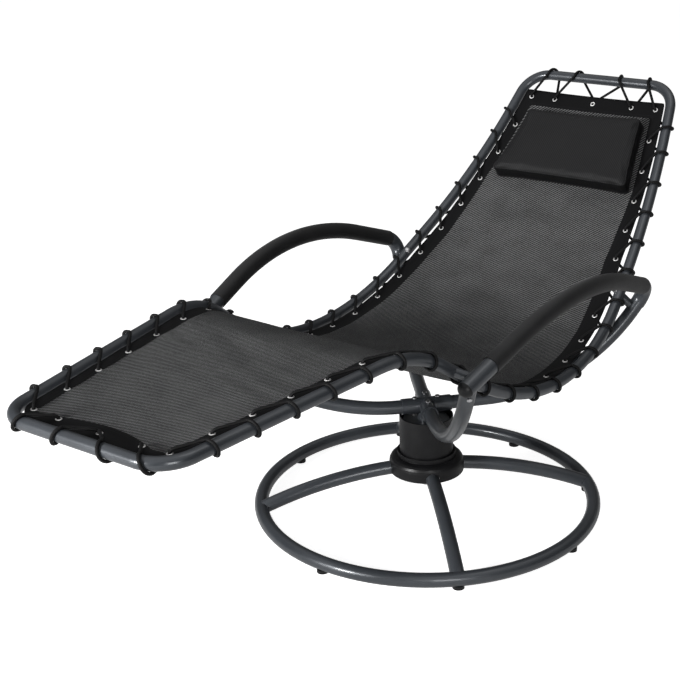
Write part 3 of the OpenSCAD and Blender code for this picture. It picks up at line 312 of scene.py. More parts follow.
def twill_group():
    """Two sets of yarns, one over the other by a step of four, so that slanting ribs show."""
    n, given, out = group(
        "twill_weave", [("Vector", "Vector", None), ("Pitch", "Float", 0.0018), ("Slant", "Float", 1.0)],
        ["Weft", "Height", "Gap"],
    )
    split = n.add("SeparateXYZ", given["Vector"])
    u = n.math("DIVIDE", split.outputs[0], given["Pitch"])
    v = n.math("DIVIDE", split.outputs[1], given["Pitch"])
    step = n.math("ADD", n.math("FLOOR", u), n.math("MULTIPLY", n.math("FLOOR", v), given["Slant"]))
    weft_up = n.math("LESS_THAN", n.math("FLOORED_MODULO", step, TWILL_REPEAT), TWILL_REPEAT / 2)
    ridge_u = n.math("ABSOLUTE", n.math("SINE", n.math("MULTIPLY", u, math.pi)))
    ridge_v = n.math("ABSOLUTE", n.math("SINE", n.math("MULTIPLY", v, math.pi)))
    over = n.math("ADD", n.math("MULTIPLY", weft_up, ridge_v),
                  n.math("MULTIPLY", n.math("SUBTRACT", 1.0, weft_up), ridge_u))
    n.put(out["Weft"], weft_up)
    n.put(out["Height"], over)
    n.put(out["Gap"], n.math("LESS_THAN", n.math("MAXIMUM", ridge_u, ridge_v), GAP_BELOW))
    return n.tree


def stitch_group():
    """Rows of short stitches: dashes along one direction at set distances from a hem's edge."""
    n, given, out = group(
        "hem_stitches", [("Along", "Float", None), ("From edge", "Float", None), ("Row", "Float", 3.0),
                         ("Pitch", "Float", 4.0)],
        ["Thread"],
    )
    off = n.math("ABSOLUTE", n.math("ADD", given["From edge"], given["Row"]))
    line = n.math("SUBTRACT", 1.0, n.band(off, 0.3, 0.8))
    place = n.math("FRACT", n.math("DIVIDE", given["Along"], given["Pitch"]))
    dash = n.band(n.math("ABSOLUTE", n.math("SUBTRACT", place, 0.5)), 0.42, 0.36)
    n.put(out["Thread"], n.math("MULTIPLY", line, dash))
    return n.tree


GRAIN, TWILL, STITCHES = grain_group(), twill_group(), stitch_group()


def material(name):
    """An empty Principled material; gives it, its node calls and its shader."""
    made = bpy.data.materials.new(name)
    made.use_nodes = True
    nodes = Nodes(made.node_tree)
    return made, nodes, made.node_tree.nodes["Principled BSDF"]


def placed(nodes, tree, **values):
    """A node group placed in a material with its values."""
    made = nodes.tree.nodes.new("ShaderNodeGroup")
    made.node_tree = tree
    for name, value in values.items():
        nodes.put(made.inputs[name.replace("_", " ")], value)
    return made.outputs


def bumped(nodes, shader, height, strength, distance):
    """Feeds a height to the shader's normal."""
    bump = nodes.tree.nodes.new("ShaderNodeBump")
    bump.inputs["Strength"].default_value = strength
    bump.inputs["Distance"].default_value = distance
    nodes.put(bump.inputs["Height"], height)
    nodes.put(shader.inputs["Normal"], bump.outputs[0])


def grained(name, dark, light, rough, fine, broad, bump, metallic=0.0, coat=0.0, specular=0.5, sheen=0.0):
    """A solid finish: colour and gloss that vary a little, over a fine raised grain."""
    made, n, shader = material(name)
    where = n.tree.nodes.new("ShaderNodeTexCoord").outputs["Object"]
    grain = placed(n, GRAIN, Vector=where, Fine=fine, Broad=broad)
    tone = n.math("ADD", n.math("MULTIPLY", grain["Tone"], 0.65), n.math("MULTIPLY", grain["Speckle"], 0.35))
    n.put(shader.inputs["Base Color"], n.blend(n.band(tone, 0.35, 0.65), (*dark, 1), (*light, 1)))
    spread = n.math("MULTIPLY", n.math("SUBTRACT", grain["Tone"], 0.5), 0.25)
    n.put(shader.inputs["Roughness"], n.math("ADD", spread, rough))
    shader.inputs["Metallic"].default_value = metallic
    shader.inputs["Coat Weight"].default_value = coat
    shader.inputs["Specular IOR Level"].default_value = specular
    shader.inputs["Sheen Weight"].default_value = sheen
    bumped(n, shader, grain["Speckle"], bump, 0.0002)
    return made


frame_coat = grained("frame_powder_coat", (0.042, 0.047, 0.054), (0.060, 0.066, 0.075), 0.33, 700, 6, 0.10,
                     metallic=0.25, coat=0.2)
zinc = grained("zinc_plating", (0.42, 0.42, 0.43), (0.62, 0.62, 0.63), 0.30, 900, 25, 0.05, metallic=1.0)
nickel = grained("nickel_plating", (0.80, 0.79, 0.78), (0.92, 0.91, 0.90), 0.45, 900, 40, 0.02, metallic=0.55)
moulding = grained("moulded_plastic", (0.004, 0.004, 0.0045), (0.008, 0.008, 0.009), 0.42, 1400, 12, 0.15,
                   specular=0.3)
sleeve_foam = grained("sleeve_foam", (0.007, 0.007, 0.0075), (0.014, 0.014, 0.015), 0.62, 900, 14, 0.4,
                      specular=0.3, sheen=0.08)


def cord_material():
    """Black braided elastic: two crossing sets of slanting strands, from the cord's own map."""
    made, n, shader = material("braided_elastic")
    split = n.add("SeparateXYZ", n.tree.nodes.new("ShaderNodeUVMap").outputs[0])
    turn = n.math("MULTIPLY", split.outputs[0], 8.0)
    way = n.math("DIVIDE", split.outputs[1], 0.0016)
    one = n.math("ABSOLUTE", n.math("SINE", n.math("MULTIPLY", n.math("ADD", turn, way), math.pi / 2)))
    two = n.math("ABSOLUTE", n.math("SINE", n.math("MULTIPLY", n.math("SUBTRACT", turn, way), math.pi / 2)))
    braid = n.math("MULTIPLY", one, two)
    n.put(shader.inputs["Base Color"], n.blend(braid, (0.002, 0.002, 0.0022, 1), (0.006, 0.006, 0.0065, 1)))
    shader.inputs["Roughness"].default_value = 0.6
    shader.inputs["Specular IOR Level"].default_value = 0.2
    bumped(n, shader, braid, 0.6, 0.0005)
    return made


def sling_material():
    """Grey and black twill mesh with a plain black hem, a little open between the yarns."""
    made, n, shader = material("sling_mesh")
    uv = n.tree.nodes.new("ShaderNodeUVMap").outputs[0]
    off = n.attribute("hem_mm")
    inside = n.band(off, -0.4, 0.4)
    weave = placed(n, TWILL, Vector=uv, Pitch=0.0022, Slant=-1.0)
    grain = placed(n, GRAIN, Vector=uv, Fine=420.0, Broad=14.0)
    split = n.add("SeparateXYZ", uv)
    run = n.math("MULTIPLY", n.math("ADD", split.outputs[0], split.outputs[1]), 1000.0)
    near = placed(n, STITCHES, Along=run, From_edge=off, Row=3.0)["Thread"]
    far = placed(n, STITCHES, Along=run, From_edge=off, Row=7.5)["Thread"]
    thread = n.math("MAXIMUM", near, far)
    light = n.math("ADD", n.math("MULTIPLY", grain["Speckle"], 0.75), n.math("MULTIPLY", grain["Tone"], 0.25))
    weft = n.blend(n.band(light, 0.35, 0.65), (0.11, 0.111, 0.113, 1), (0.24, 0.243, 0.245, 1))
    mesh = n.blend(weave["Weft"], (0.003, 0.003, 0.0033, 1), weft)
    cover = n.blend(thread, (0.003, 0.003, 0.0035, 1), (0.007, 0.007, 0.008, 1))
    n.put(shader.inputs["Base Color"], n.blend(inside, cover, mesh))
    shader.inputs["Roughness"].default_value = 0.65
    shader.inputs["Specular IOR Level"].default_value = 0.15
    open_share = n.math("MULTIPLY", n.math("MULTIPLY", weave["Gap"], 0.6), inside)
    n.put(shader.inputs["Alpha"], n.math("SUBTRACT", 1.0, open_share))
    high = n.math("ADD", n.math("MULTIPLY", n.math("MULTIPLY", weave["Height"], inside), 0.5),
                  n.math("MULTIPLY", n.math("SUBTRACT", 1.0, inside), 1.5))
    bumped(n, shader, n.math("SUBTRACT", high, n.math("MULTIPLY", thread, 0.5)), 0.5, 0.0006)
    return made


def pillow_material():
    """Fine black twill over the pillow, with painted shade on its side strips and underside: plain near-black
    there.
    """
    made, n, shader = material("pillow_cover")
    where = n.tree.nodes.new("ShaderNodeTexCoord").outputs["Object"]
    turned = n.tree.nodes.new("ShaderNodeMapping")
    turned.inputs["Rotation"].default_value = (math.radians(-38), 0, 0)
    n.put(turned.inputs["Vector"], where)
    weave = placed(n, TWILL, Vector=turned.outputs[0], Pitch=0.0016, Slant=1.0)
    grain = placed(n, GRAIN, Vector=where, Fine=500.0, Broad=12.0)
    shade = n.math("ADD", n.math("MULTIPLY", weave["Weft"], 0.7), n.math("MULTIPLY", grain["Tone"], 0.3))
    twill = n.blend(shade, (0.004, 0.004, 0.0045, 1), (0.018, 0.018, 0.019, 1))
    # Painted shade: near-black where the cover faces sideways or down from the sling.
    n.put(shader.inputs["Base Color"], n.blend(n.attribute("painted_side_shade"), twill, (0.002, 0.002, 0.0023, 1)))
    shader.inputs["Roughness"].default_value = 0.6
    shader.inputs["Specular IOR Level"].default_value = 0.25
    bumped(n, shader, weave["Height"], 0.35, 0.0004)
    return made


elastic, mesh_cloth, pillow_cover = cord_material(), sling_material(), pillow_material()

FINISHES = {
    "powder_coat": frame_coat, "plated_steel": zinc, "black_plastic": moulding, "arm_foam": sleeve_foam,
    "sling_mesh": mesh_cloth, "nickel": nickel, "elastic_cord": elastic, "pillow_cover": pillow_cover,
}
for part in frame["record"]["subparts"]:
    solid = frame["nodes"][part["node"]]
    solid.data.materials.clear()
    solid.data.materials.append(FINISHES[part["material_slot"]])


# ---------------------------------------------------------------- sling
HOLE_R, RING_R = 4.2, 7.0  # an eyelet's hole in the cloth, and a ring of points round it
BLOCK, BLOCK_CELLS = 10.0, 4  # half the side of the square of cloth about a hole, and its cells along a side
CLOTH_THICK = 0.0013  # metres
CORNER_R = 72  # bend of the frame's four corners
CORNER_DRAW = 1.01  # the rails slant, which moves the bends' centres in by this much
CORNER_ROOM = 57.5  # the cloth's corners are cut round at this distance from those centres

# How far the cloth runs on past its margin: at the foot, at the head, and at the sides by place along them
FOOT_REACH, HEAD_REACH = 13.0, 8.0
SIDE_REACH = [0, 700, 1100, 1600, 1780, 2052], [9, 9, 5, 2, 7, 9]

# Depth of the hems: the side ones by place, the foot one bowed by a parabola, the head one even
SIDE_HEM = [0, 250, 900, 1580, 1790, 2052], [19, 19, 34, 40, 25, 23]
FOOT_HEM, FOOT_HEM_LEAST, FOOT_BOW, FOOT_BOW_HALF = 40, 12, 28, 122
HEAD_HEM = 38

# Columns at set distances from each side edge, columns that share the rest, and the inner end eyelets
NEAR = np.array([0, 3, 8, 13, 18, 23, 29, 36], float)
BETWEEN = np.linspace(0, 1, 41)[1:-1]
END_SHARES = np.array([-2, 0, 2]) / 3
EASED = 3  # columns over which those moved to a block ease back to the even ones
EDGE_SHARES = (1.0, 0.4)  # share of the side reach that the outer column and the next one take


def side_reach(s):
    """How far the cloth runs on past its margin at the sides."""
    return np.interp(s, *SIDE_REACH)


def trimmed(s, x):
    """Cloth points outside a quarter round at each corner, moved back onto it."""
    for s_end, way in ((0.0, 1), (SIDE_LENGTH, -1)):
        centre = np.interp(s_end + way * CORNER_R, side_s, side_points[:, 0]) - CORNER_DRAW * CORNER_R
        u = np.abs(x) - centre
        v = CORNER_R - way * (s - s_end)
        far = np.hypot(np.maximum(u, 0), np.maximum(v, 0))
        outside = (u > 0) & (v > 0) & (far > CORNER_ROOM)
        scale = np.where(outside, CORNER_ROOM / np.maximum(far, TINY), 1)
        x = np.where(outside, np.sign(x) * (centre + u * scale), x)
        s = np.where(outside, s_end + way * (CORNER_R - v * scale), s)
    return s, x


def hem_depth(s, x, half):
    """Distance inside the nearest hem's inner edge, below 0 on the hem."""
    side = half - np.abs(x) - np.interp(s, *SIDE_HEM)
    foot = s - FOOT_EDGE - np.maximum(FOOT_HEM_LEAST, FOOT_HEM - FOOT_BOW * (x / FOOT_BOW_HALF) ** 2)
    head = HEAD_EDGE - s - HEAD_HEM
    return np.minimum(side, np.minimum(foot, head))


# Soft folds across the sling: place along it, slant, height and width
CROSS_FOLDS = (
    (1660, 0.10, 2.6, 24), (1560, -0.05, -2.2, 26), (1455, 0.12, 2.4, 22), (1330, 0.04, -2.6, 30),
    (1225, -0.14, 2.4, 24), (640, 0.25, 2.0, 30), (330, -0.35, 1.8, 26),
)
WAVE_HEIGHT = 0.7
FADE_FROM, FADE_RUN = 8, 90  # all folds fade out towards the end rows over this distance


def wrinkles(s, x, half):
    """Height of the cloth's folds: cross folds, slow uneven waves, and pulls that start at side eyelets."""
    q = np.clip(np.abs(x) / half, 0, 1)
    phase = (s - FOOT_ROW) / ROW_PITCH * 2 * np.pi
    pull = 0.5 * (1 - np.cos(phase)) * q**3
    # waves of several lengths, in radians per millimetre, so that they don't repeat
    slow = np.sin(s * 0.071 + x * 0.018 + 1.3 * np.sin(s * 0.017)) * np.sin(s * 0.023 + x * 0.009)
    from_end = np.minimum(s - FOOT_ROW, SIDE_LENGTH - HEAD_ROW - s)
    folds = 0
    for place, slant, height, width in CROSS_FOLDS:
        folds = folds + height * np.exp(-((s - place - slant * x) / width) ** 2)
    fade = np.clip((from_end - FADE_FROM) / FADE_RUN, 0, 1) ** 2
    return ((WAVE_HEIGHT * slow + folds) * (1 - q**4) - pull) * fade


def sling_rows():
    """Places of the grid's rows along the sling, and the first row of each side eyelet's block."""
    knots = row_s(np.arange(SIDE_EYELETS))
    rows = [knots[0] - EDGE_MARGIN - FOOT_REACH, knots[0] - EDGE_MARGIN - FOOT_REACH / 3]
    first = []
    for i, knot in enumerate(knots):
        first.append(len(rows))
        rows += [knot + d for d in (-BLOCK, -BLOCK / 2, 0, BLOCK / 2, BLOCK)]
        if i + 1 < SIDE_EYELETS:
            rows += list(np.linspace(knot + BLOCK, knots[i + 1] - BLOCK, 11)[1:-1])
    rows += [knots[-1] + EDGE_MARGIN, knots[-1] + EDGE_MARGIN + HEAD_REACH]
    return np.array(rows), first


def sling_columns(rows):
    """Places of the grid's columns across the sling in each row, and the middle column of each end eyelet.

    Columns near the sides keep their distance from the edge, and those between share the rest. Those that
    meet the end eyelets are moved to whole blocks about them.
    """
    half = edge_at(rows)[:, 0]
    inner = half - NEAR[-1]
    left = -half[:, None] + NEAR
    middle = -inner[:, None] + 2 * inner[:, None] * BETWEEN
    centres, around = [], BLOCK_CELLS // 2
    for share in END_SHARES:
        centre = share * (half - 2 * EDGE_MARGIN)
        j = int(np.argmin(np.abs(BETWEEN * 2 - 1 - centre[0] / inner[0])))
        for d in range(-around, around + 1):
            middle[:, j + d] = centre + d * BLOCK / around
        for way in (-1, 1):
            a, b = j + way * around, j + way * (around + EASED)
            for m in range(1, EASED):
                middle[:, a + way * m] = middle[:, a] + (middle[:, b] - middle[:, a]) * m / EASED
        centres.append(len(NEAR) + j)
    x = np.concatenate([left, middle, -left[:, ::-1]], axis=1)
    for j, share in enumerate(EDGE_SHARES):
        x[:, j] -= share * side_reach(rows)
        x[:, -1 - j] += share * side_reach(rows)
    return x, centres


def sling_surface():
    """The sling as points and faces over its length and width, with a round hole at each eyelet."""
    rows, first = sling_rows()
    x, centres = sling_columns(rows)
    s = np.broadcast_to(rows[:, None], x.shape)
    n_rows, n_cols = x.shape
    faces = grid_faces(n_rows, n_cols).reshape(n_rows - 1, n_cols - 1, 4)
    keep = np.ones((n_rows - 1, n_cols - 1), bool)
    pts_s, pts_x, extra = [s.ravel()], [x.ravel()], []
    used = n_rows * n_cols
    m = BLOCK_CELLS
    blocks = [(r, 1) for r in first] + [(r, n_cols - 2 - m) for r in first]
    blocks += [(first[end], centre - m // 2) for end in (0, -1) for centre in centres]
    for r, c in blocks:
        keep[r:r + m, c:c + m] = False
        ring = ([(r, c + k) for k in range(m)] + [(r + k, c + m) for k in range(m)]
                + [(r + m, c + m - k) for k in range(m)] + [(r + m - k, c) for k in range(m)])
        outer = np.array([i * n_cols + j for i, j in ring])
        s0, x0 = s[r + m // 2, c + m // 2], x[r + m // 2, c + m // 2]
        ds, dx = s.ravel()[outer] - s0, x.ravel()[outer] - x0
        size = np.hypot(ds, dx)
        loops = [outer]
        for radius in (RING_R, HOLE_R):
            pts_s.append(s0 + ds / size * radius)
            pts_x.append(x0 + dx / size * radius)
            loops.append(used + np.arange(len(outer)))
            used += len(outer)
        for a, b in zip(loops[:-1], loops[1:]):
            extra.append(np.stack([a, np.roll(a, -1), np.roll(b, -1), b], axis=-1))
    s_all, x_all = trimmed(np.concatenate(pts_s), np.concatenate(pts_x))
    return s_all, x_all, np.concatenate([faces[keep], *extra])


def store(mesh, name, values):
    """Stores a number for each point of a mesh, for its material to read."""
    mesh.attributes.new(name, "FLOAT", "POINT").data.foreach_set("value", values.astype(np.float32))


def make_sling():
    """The cloth with its thickness, and its flat size and area in metres."""
    s, x, faces = sling_surface()
    half = edge_at(s)[:, 0]
    points = cloth(s, x) + lift_at(s) * col(wrinkles(s, x, half))
    made = piece("sling_cloth", points, faces, mesh_cloth, uv=np.stack([x, s], axis=-1) * MM)
    store(made.data, "hem_mm", hem_depth(s, x, half))
    thick = made.modifiers.new("thickness", "SOLIDIFY")
    thick.thickness, thick.offset = CLOTH_THICK, 0.0
    stations = np.linspace(FOOT_EDGE - FOOT_REACH, HEAD_EDGE + HEAD_REACH, 400)
    widths = 2 * (edge_at(stations)[:, 0] + side_reach(stations))
    area = float(((widths[1:] + widths[:-1]) / 2 * np.diff(stations)).sum())
    flat = (float(widths.max()) * MM, float(stations[-1] - stations[0]) * MM)
    return made, flat, area * MM * MM


sling_cloth, sling_flat, sling_area = make_sling()


# ---------------------------------------------------------------- eyelets
EYELET_AROUND = 24
# Half section of a rolled eyelet, by radius and height: the barrel's inside, the upper flange, the lower one
EYELET_SECTION = np.array([
    [3.5, -0.9], [3.5, 0.9], [3.9, 1.45], [4.7, 1.7], [5.6, 1.5], [6.25, 1.0], [6.4, 0.72], [4.3, 0.72],
    [4.3, -0.72], [6.4, -0.72], [6.25, -1.0], [5.6, -1.5], [4.7, -1.7], [3.9, -1.45],
])


def eyelet_frames():
    """Point, across, along and up directions of every eyelet: left side, right side, foot and head."""
    s_side = row_s(np.arange(SIDE_EYELETS))
    x_side = edge_at(s_side)[:, 0] - EDGE_MARGIN
    s_ends = np.repeat([FOOT_ROW, SIDE_LENGTH - HEAD_ROW], len(END_SHARES))
    x_ends = np.tile(END_SHARES, 2) * (edge_at(s_ends)[:, 0] - 2 * EDGE_MARGIN)
    return cloth_frame(np.concatenate([s_side, s_side, s_ends]), np.concatenate([-x_side, x_side, x_ends]))


def make_eyelets():
    """A rolled ring carried round each eyelet's axis: a barrel with a domed flange on both sides."""
    p, a, t, n = eyelet_frames()
    angle = np.linspace(0, 2 * np.pi, EYELET_AROUND, endpoint=False)[:, None]
    r, z = EYELET_SECTION[:, 0][None], EYELET_SECTION[:, 1][None]
    local = np.stack(np.broadcast_arrays(r * np.cos(angle), r * np.sin(angle), z), axis=-1).reshape(-1, 3)
    axes = np.stack([a, t, n], axis=1)
    points = p[:, None] + np.einsum("kj,mji->mki", local, axes)
    ring = grid_faces(EYELET_AROUND, len(EYELET_SECTION), wrap_rows=True, wrap_cols=True)
    faces = (ring[None] + (np.arange(len(p)) * len(local))[:, None, None]).reshape(-1, 4)
    return piece("rolled_eyelets", points, faces, nickel)


rolled_eyelets = make_eyelets()

# ---------------------------------------------------------------- lacing
LACE_R, LACE_AROUND, LACE_CLEAR = 3.4, 10, 0.3
LACE_STEP = 2.8  # distance between a cord's rings
WRAP_R = RAIL_R + LACE_R + LACE_CLEAR
WRAP_STEP = 16.0  # how far a wrap moves along the rail
WRAP_LEAD = 47.0  # how far past its eyelet a wrap starts
ODD_LEADS = {7: 54.0, 15: 42.0, SIDE_EYELETS - 2: 30.0}  # the same for the wraps that lie differently
TURNS = np.radians(np.linspace(-25, 195, 9))  # a wrap's turns, from 0 over the tube
KNOT_SIZE = 1.7
RAIL_RUN = 300  # length of rail that is taken as straight beside an end's bends

# Stops of a cord beside an eyelet, as distance from its axis and height over the cloth
UNDER, OVER = ((12, -6.5), (3, -5), (0, -2.5)), ((0, 2.5), (3.5, 5), (11, 6))
# A side cord's start and first knot, as depths, and its last stop and knot, as steps along and up
FIRST_DEPTH, FIRST_KNOT_DEPTH = 12, 13
LAST_STOP, LAST_KNOT = (-12, -9), (9, -4)
# An end cord's start and tail, as steps outwards and up from its eyelet
END_START, END_TAIL = (-12, -4), ((10, -7), (0, -7.5), (-9, -7))


def wrapped(p, out, up):
    """Half a turn and more round a tube, over it, past its outer side and under it."""
    return p + (out * np.sin(col(TURNS)) + up * np.cos(col(TURNS))) * WRAP_R


def through(c, n, start, end):
    """Up through an eyelet: under it on the line from the start, then over it on the line to the end."""
    to, fro = unit(end - c), unit(start - c)
    return np.array([c + fro * far + n * high for far, high in UNDER]
                    + [c + to * far + n * high for far, high in OVER])


def knot_line(centre, a, t, n, size):
    """An overhand knot: a trefoil line about a point."""
    w = np.linspace(0, 2 * np.pi, 20)[:-1]
    x, y, z = np.sin(w) + 2 * np.sin(2 * w), np.cos(w) - 2 * np.cos(2 * w), -np.sin(3 * w)
    return centre + (a * col(x) + t * col(y) + n * col(z * 1.6)) * size


def side_route():
    """From a knot under the first eyelet, up through each and over the rail, to a knot under the last."""
    s_row = row_s(np.arange(SIDE_EYELETS))
    c, a, t, n = cloth_frame(s_row, edge_at(s_row)[:, 0] - EDGE_MARGIN)
    wraps = []
    for i in range(SIDE_EYELETS - 1):
        start = s_row[i] + ODD_LEADS.get(i, WRAP_LEAD)
        p, out, _, up = rail_at(start + np.linspace(0, WRAP_STEP, len(TURNS)))
        wraps.append(wrapped(p, out, up))
    stops = [knot_line(c[0] - n[0] * FIRST_KNOT_DEPTH, a[0], t[0], n[0], KNOT_SIZE)]
    for i, wrap in enumerate(wraps):
        before = wraps[i - 1][-1] if i else c[0] - n[0] * FIRST_DEPTH
        stops += [through(c[i], n[i], before, wrap[0]), wrap]
    last = c[-1] + n[-1] * LAST_STOP[1] + t[-1] * LAST_STOP[0]
    knot = last + t[-1] * LAST_KNOT[0] + n[-1] * LAST_KNOT[1]
    stops += [last[None], knot_line(knot, a[-1], t[-1], n[-1], KNOT_SIZE)]
    return np.concatenate(stops)


def bar_frames(index, way, places):
    """Point, outward and up directions on an end hoop at distances from its middle; way is -1 at the foot."""
    s_bar = 0.0 if index == 0 else SIDE_LENGTH
    corner = SIDE_CORNERS[index]
    inner = along_side(side_points, np.array([s_bar - way * RAIL_RUN]))[0]
    flip = np.array([-1, 1, 1])
    line = filleted(np.array([inner * flip, corner * flip, corner, inner]), [0, CORNER_R, CORNER_R, 0])
    run = np.concatenate([[0], np.cumsum(np.linalg.norm(np.diff(line, axis=0), axis=1))])
    at = run[-1] / 2 + np.asarray(places, float)
    p = np.stack([np.interp(at, run, line[:, k]) for k in range(3)], axis=-1)
    q = np.stack([np.interp(at + 1, run, line[:, k]) for k in range(3)], axis=-1)
    up = np.broadcast_to(lift_at(np.array([s_bar])), p.shape)
    out = unit(np.cross(up, q - p))
    return p, out * np.sign((out * (p - inner * np.array([0, 1, 1]))).sum(-1, keepdims=True)), up


def end_eyelets(row):
    """Frames of the five eyelets across an end, its two corner eyelets included."""
    half = edge_at(np.array([row]))[0, 0]
    inner = END_SHARES[-1] * (half - 2 * EDGE_MARGIN)
    return cloth_frame(np.full(5, row), np.array([-half + EDGE_MARGIN, -inner, 0, inner, half - EDGE_MARGIN]))


def end_route(index, row, way, order, places):
    """A cord through eyelets in the given order, over the bar at a place between each two of them."""
    c, _, t, n = end_eyelets(row)
    wraps = [wrapped(*bar_frames(index, way, np.linspace(a, b, len(TURNS)))) for a, b in places]
    first, last = order[0], order[-1]
    stops = []
    for k, wrap in enumerate(wraps):
        before = wraps[k - 1][-1] if k else c[first] + t[first] * way * END_START[0] + n[first] * END_START[1]
        stops += [through(c[order[k]], n[order[k]], before, wrap[0]), wrap]
    stops.append(np.array([c[last] + t[last] * way * far + n[last] * high for far, high in END_TAIL]))
    return np.concatenate(stops)


def make_lace(name, node, routes, side=1):
    """Cords along routes, smooth between their points; side -1 mirrors them."""
    parts, faces, maps, used = [], [], [], 0
    for stops in routes:
        line = even_line(smooth_line(stops, per_span=8), LACE_STEP)
        points, quads, uv = tube(line, np.full(len(line), LACE_R), LACE_AROUND)
        points, closed = capped(points, quads, LACE_AROUND, line[[0, -1]])
        parts.append(points * np.array([side, 1, 1]))
        maps += [uv, uv[[0, -1]]]
        faces += [[corner + used for corner in face[::side]] for face in closed]
        used += len(points)
    made = piece(name, np.concatenate(parts), faces, elastic, uv=np.concatenate(maps))
    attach(made, "seat")
    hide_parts(node)


side_stops = side_route()
make_lace("lace_right", "lacing_right", [side_stops])
make_lace("lace_left", "lacing_left", [side_stops], side=-1)
make_lace("lace_foot", "lacing_foot", [
    end_route(0, FOOT_ROW, -1, [2, 1, 0], [(-36, -58), (-132, -154)]),
    end_route(0, FOOT_ROW, -1, [2, 3, 4], [(52, 74), (140, 166)]),
])
make_lace("lace_head", "lacing_head", [
    end_route(-1, SIDE_LENGTH - HEAD_ROW, 1, [0, 1, 2], [(-148, -126), (-70, -50)]),
    end_route(-1, SIDE_LENGTH - HEAD_ROW, 1, [4, 3, 2], [(142, 132), (62, 52)]),
])

for made, node, slot in ((sling_cloth, "sling", "sling_mesh"), (rolled_eyelets, "eyelets", "nickel")):
    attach(made, "seat")
    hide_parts(node)

# ---------------------------------------------------------------- pillow
PILLOW_H, PILLOW_T = 222.0, 46.0  # size along the back, and thickness
PILLOW_X, PILLOW_S = 10.0, 1886.0  # place of its middle across and along the sling
PILLOW_INSET = 34.0  # distance of its sides from the sling's edges
PILLOW_SKEW = 9.0  # its upper left corner lies this much lower
PILLOW_CLEAR = 1.6  # gap over the cloth
PILLOW_EDGE, PILLOW_DRAW = 9.0, 1.0  # rounding of its edges, and how far its side strip is drawn in
PILLOW_CROWN, PILLOW_CORNER, PILLOW_PULL = 3.0, 14.0, 3.0  # rise of its top, round corners, hollow sides
PILLOW_TIP = 0.2  # rise of the top's middle over the points about it
SWELL_ROOM = 3.0  # the cover is drawn smaller by this much before it is blown up
SWELL_FRAMES = 20
PILLOW_VOXEL, SWELL_LIMIT = 0.005, 0.005  # metres
SHADE_FROM, SHADE_RUN = 0.85, 0.2  # painted shade on the sides starts where the cover faces up by less than this
PIPING_R, PIPING_AROUND = 1.5, 8
PIPING_LEVEL = 3.0  # distance of the piping from the pillow's top and underside


def rounded_outline(inset, step):
    """The pillow's outline: it narrows with the sling, has round corners, and its sides pull in a little."""
    v = PILLOW_H / 2 - inset
    low, high = edge_at(PILLOW_S + np.array([-v, v]))[:, 0] - PILLOW_INSET - inset
    middle = (low + high) / 2
    corners = [[high, v, 0], [-high, v - PILLOW_SKEW, 0], [-low, -v, 0], [low, -v, 0]]
    closed = np.array([[middle, 0, 0], *corners, [middle, 0, 0]])
    line = even_line(filleted(closed, [0] + [PILLOW_CORNER] * len(corners) + [0]), step)[:-1]
    x, y = line[:, 0], line[:, 1]
    width = middle + (high - low) * y / (2 * v)
    pull_x = PILLOW_PULL * np.clip(1 - (y / v) ** 2, 0, 1) * (x / width) ** 8 * np.sign(x)
    pull_y = PILLOW_PULL * np.clip(1 - (x / width) ** 2, 0, 1) * (y / v) ** 8 * np.sign(y)
    return x - pull_x, y - pull_y


def pillow_shape(swell):
    """Top, side strip and underside of the pillow as one profile carried round its outline."""
    out = np.linspace(0, 1, 13)[1:-1]
    bend = np.linspace(0, np.pi / 2, 6)
    top = PILLOW_T - swell
    share = np.concatenate([out, np.ones(2 * len(bend) + 1), out[::-1]])
    drawn, drop = PILLOW_EDGE * (1 - np.sin(bend)), PILLOW_EDGE * (1 - np.cos(bend))
    flat = 0 * out
    inset = np.concatenate([flat + PILLOW_EDGE, drawn, [PILLOW_DRAW], drawn[::-1], flat + PILLOW_EDGE])
    height = np.concatenate([top + PILLOW_CROWN * (1 - out**2), top - drop, [top / 2], drop[::-1], flat])
    x, y = rounded_outline(swell, step=5.0)
    scale = share[:, None] * (1 - inset[:, None] / np.hypot(x, y)[None])
    return x[None] * scale, y[None] * scale, np.broadcast_to(height[:, None], scale.shape)


def on_sling(x, y, height):
    """Pillow points laid on the sling: x across, y along the back, height square to it."""
    s = PILLOW_S + y
    base = cloth(s, PILLOW_X + x)
    return base + lift_at(s) * col(height + PILLOW_CLEAR)


def make_pillow():
    """A stuffed pillow: a drawn-in box, blown up as cloth, with each point's way limited."""
    x, y, h = pillow_shape(SWELL_ROOM)
    rows, cols = x.shape
    points = on_sling(x, y, h).reshape(-1, 3)
    faces = grid_faces(rows, cols, wrap_cols=True)
    middle = np.array(0.0)
    ends = [on_sling(middle, middle, level) for level in (h[0, 0] + PILLOW_TIP, 0.0)]
    points, faces = capped(points, faces, cols, np.stack(ends))
    made = piece("head_pillow", points, faces, pillow_cover)
    remesh = made.modifiers.new("even", "REMESH")
    remesh.mode, remesh.voxel_size = "VOXEL", PILLOW_VOXEL
    apply_all(made)
    blow_up(made)
    soft = made.modifiers.new("soft", "SUBSURF")
    soft.levels = soft.render_levels = 1
    apply_all(made)
    made.data.polygons.foreach_set("use_smooth", np.full(len(made.data.polygons), True))
    # Painted shade: stores how far each point faces away from up, for the cover's near-black sides and
    # underside.
    paint_side_shade(made.data)
    return made


def paint_side_shade(mesh):
    """Painted shade for the pillow's side strip and underside: 0 where the cover faces up from the sling, 1
    where it faces sideways or down.
    """
    normals = np.empty(len(mesh.vertices) * 3, np.float32)
    mesh.vertices.foreach_get("normal", normals)
    facing = normals.reshape(-1, 3) @ lift_at(np.array([PILLOW_S]))[0]
    store(mesh, "painted_side_shade", np.clip((SHADE_FROM - facing) / SHADE_RUN, 0, 1))


def read_points(mesh):
    """A mesh's points as an array."""
    co = np.empty(len(mesh.vertices) * 3, np.float32)
    mesh.vertices.foreach_get("co", co)
    return co.reshape(-1, 3).astype(float)


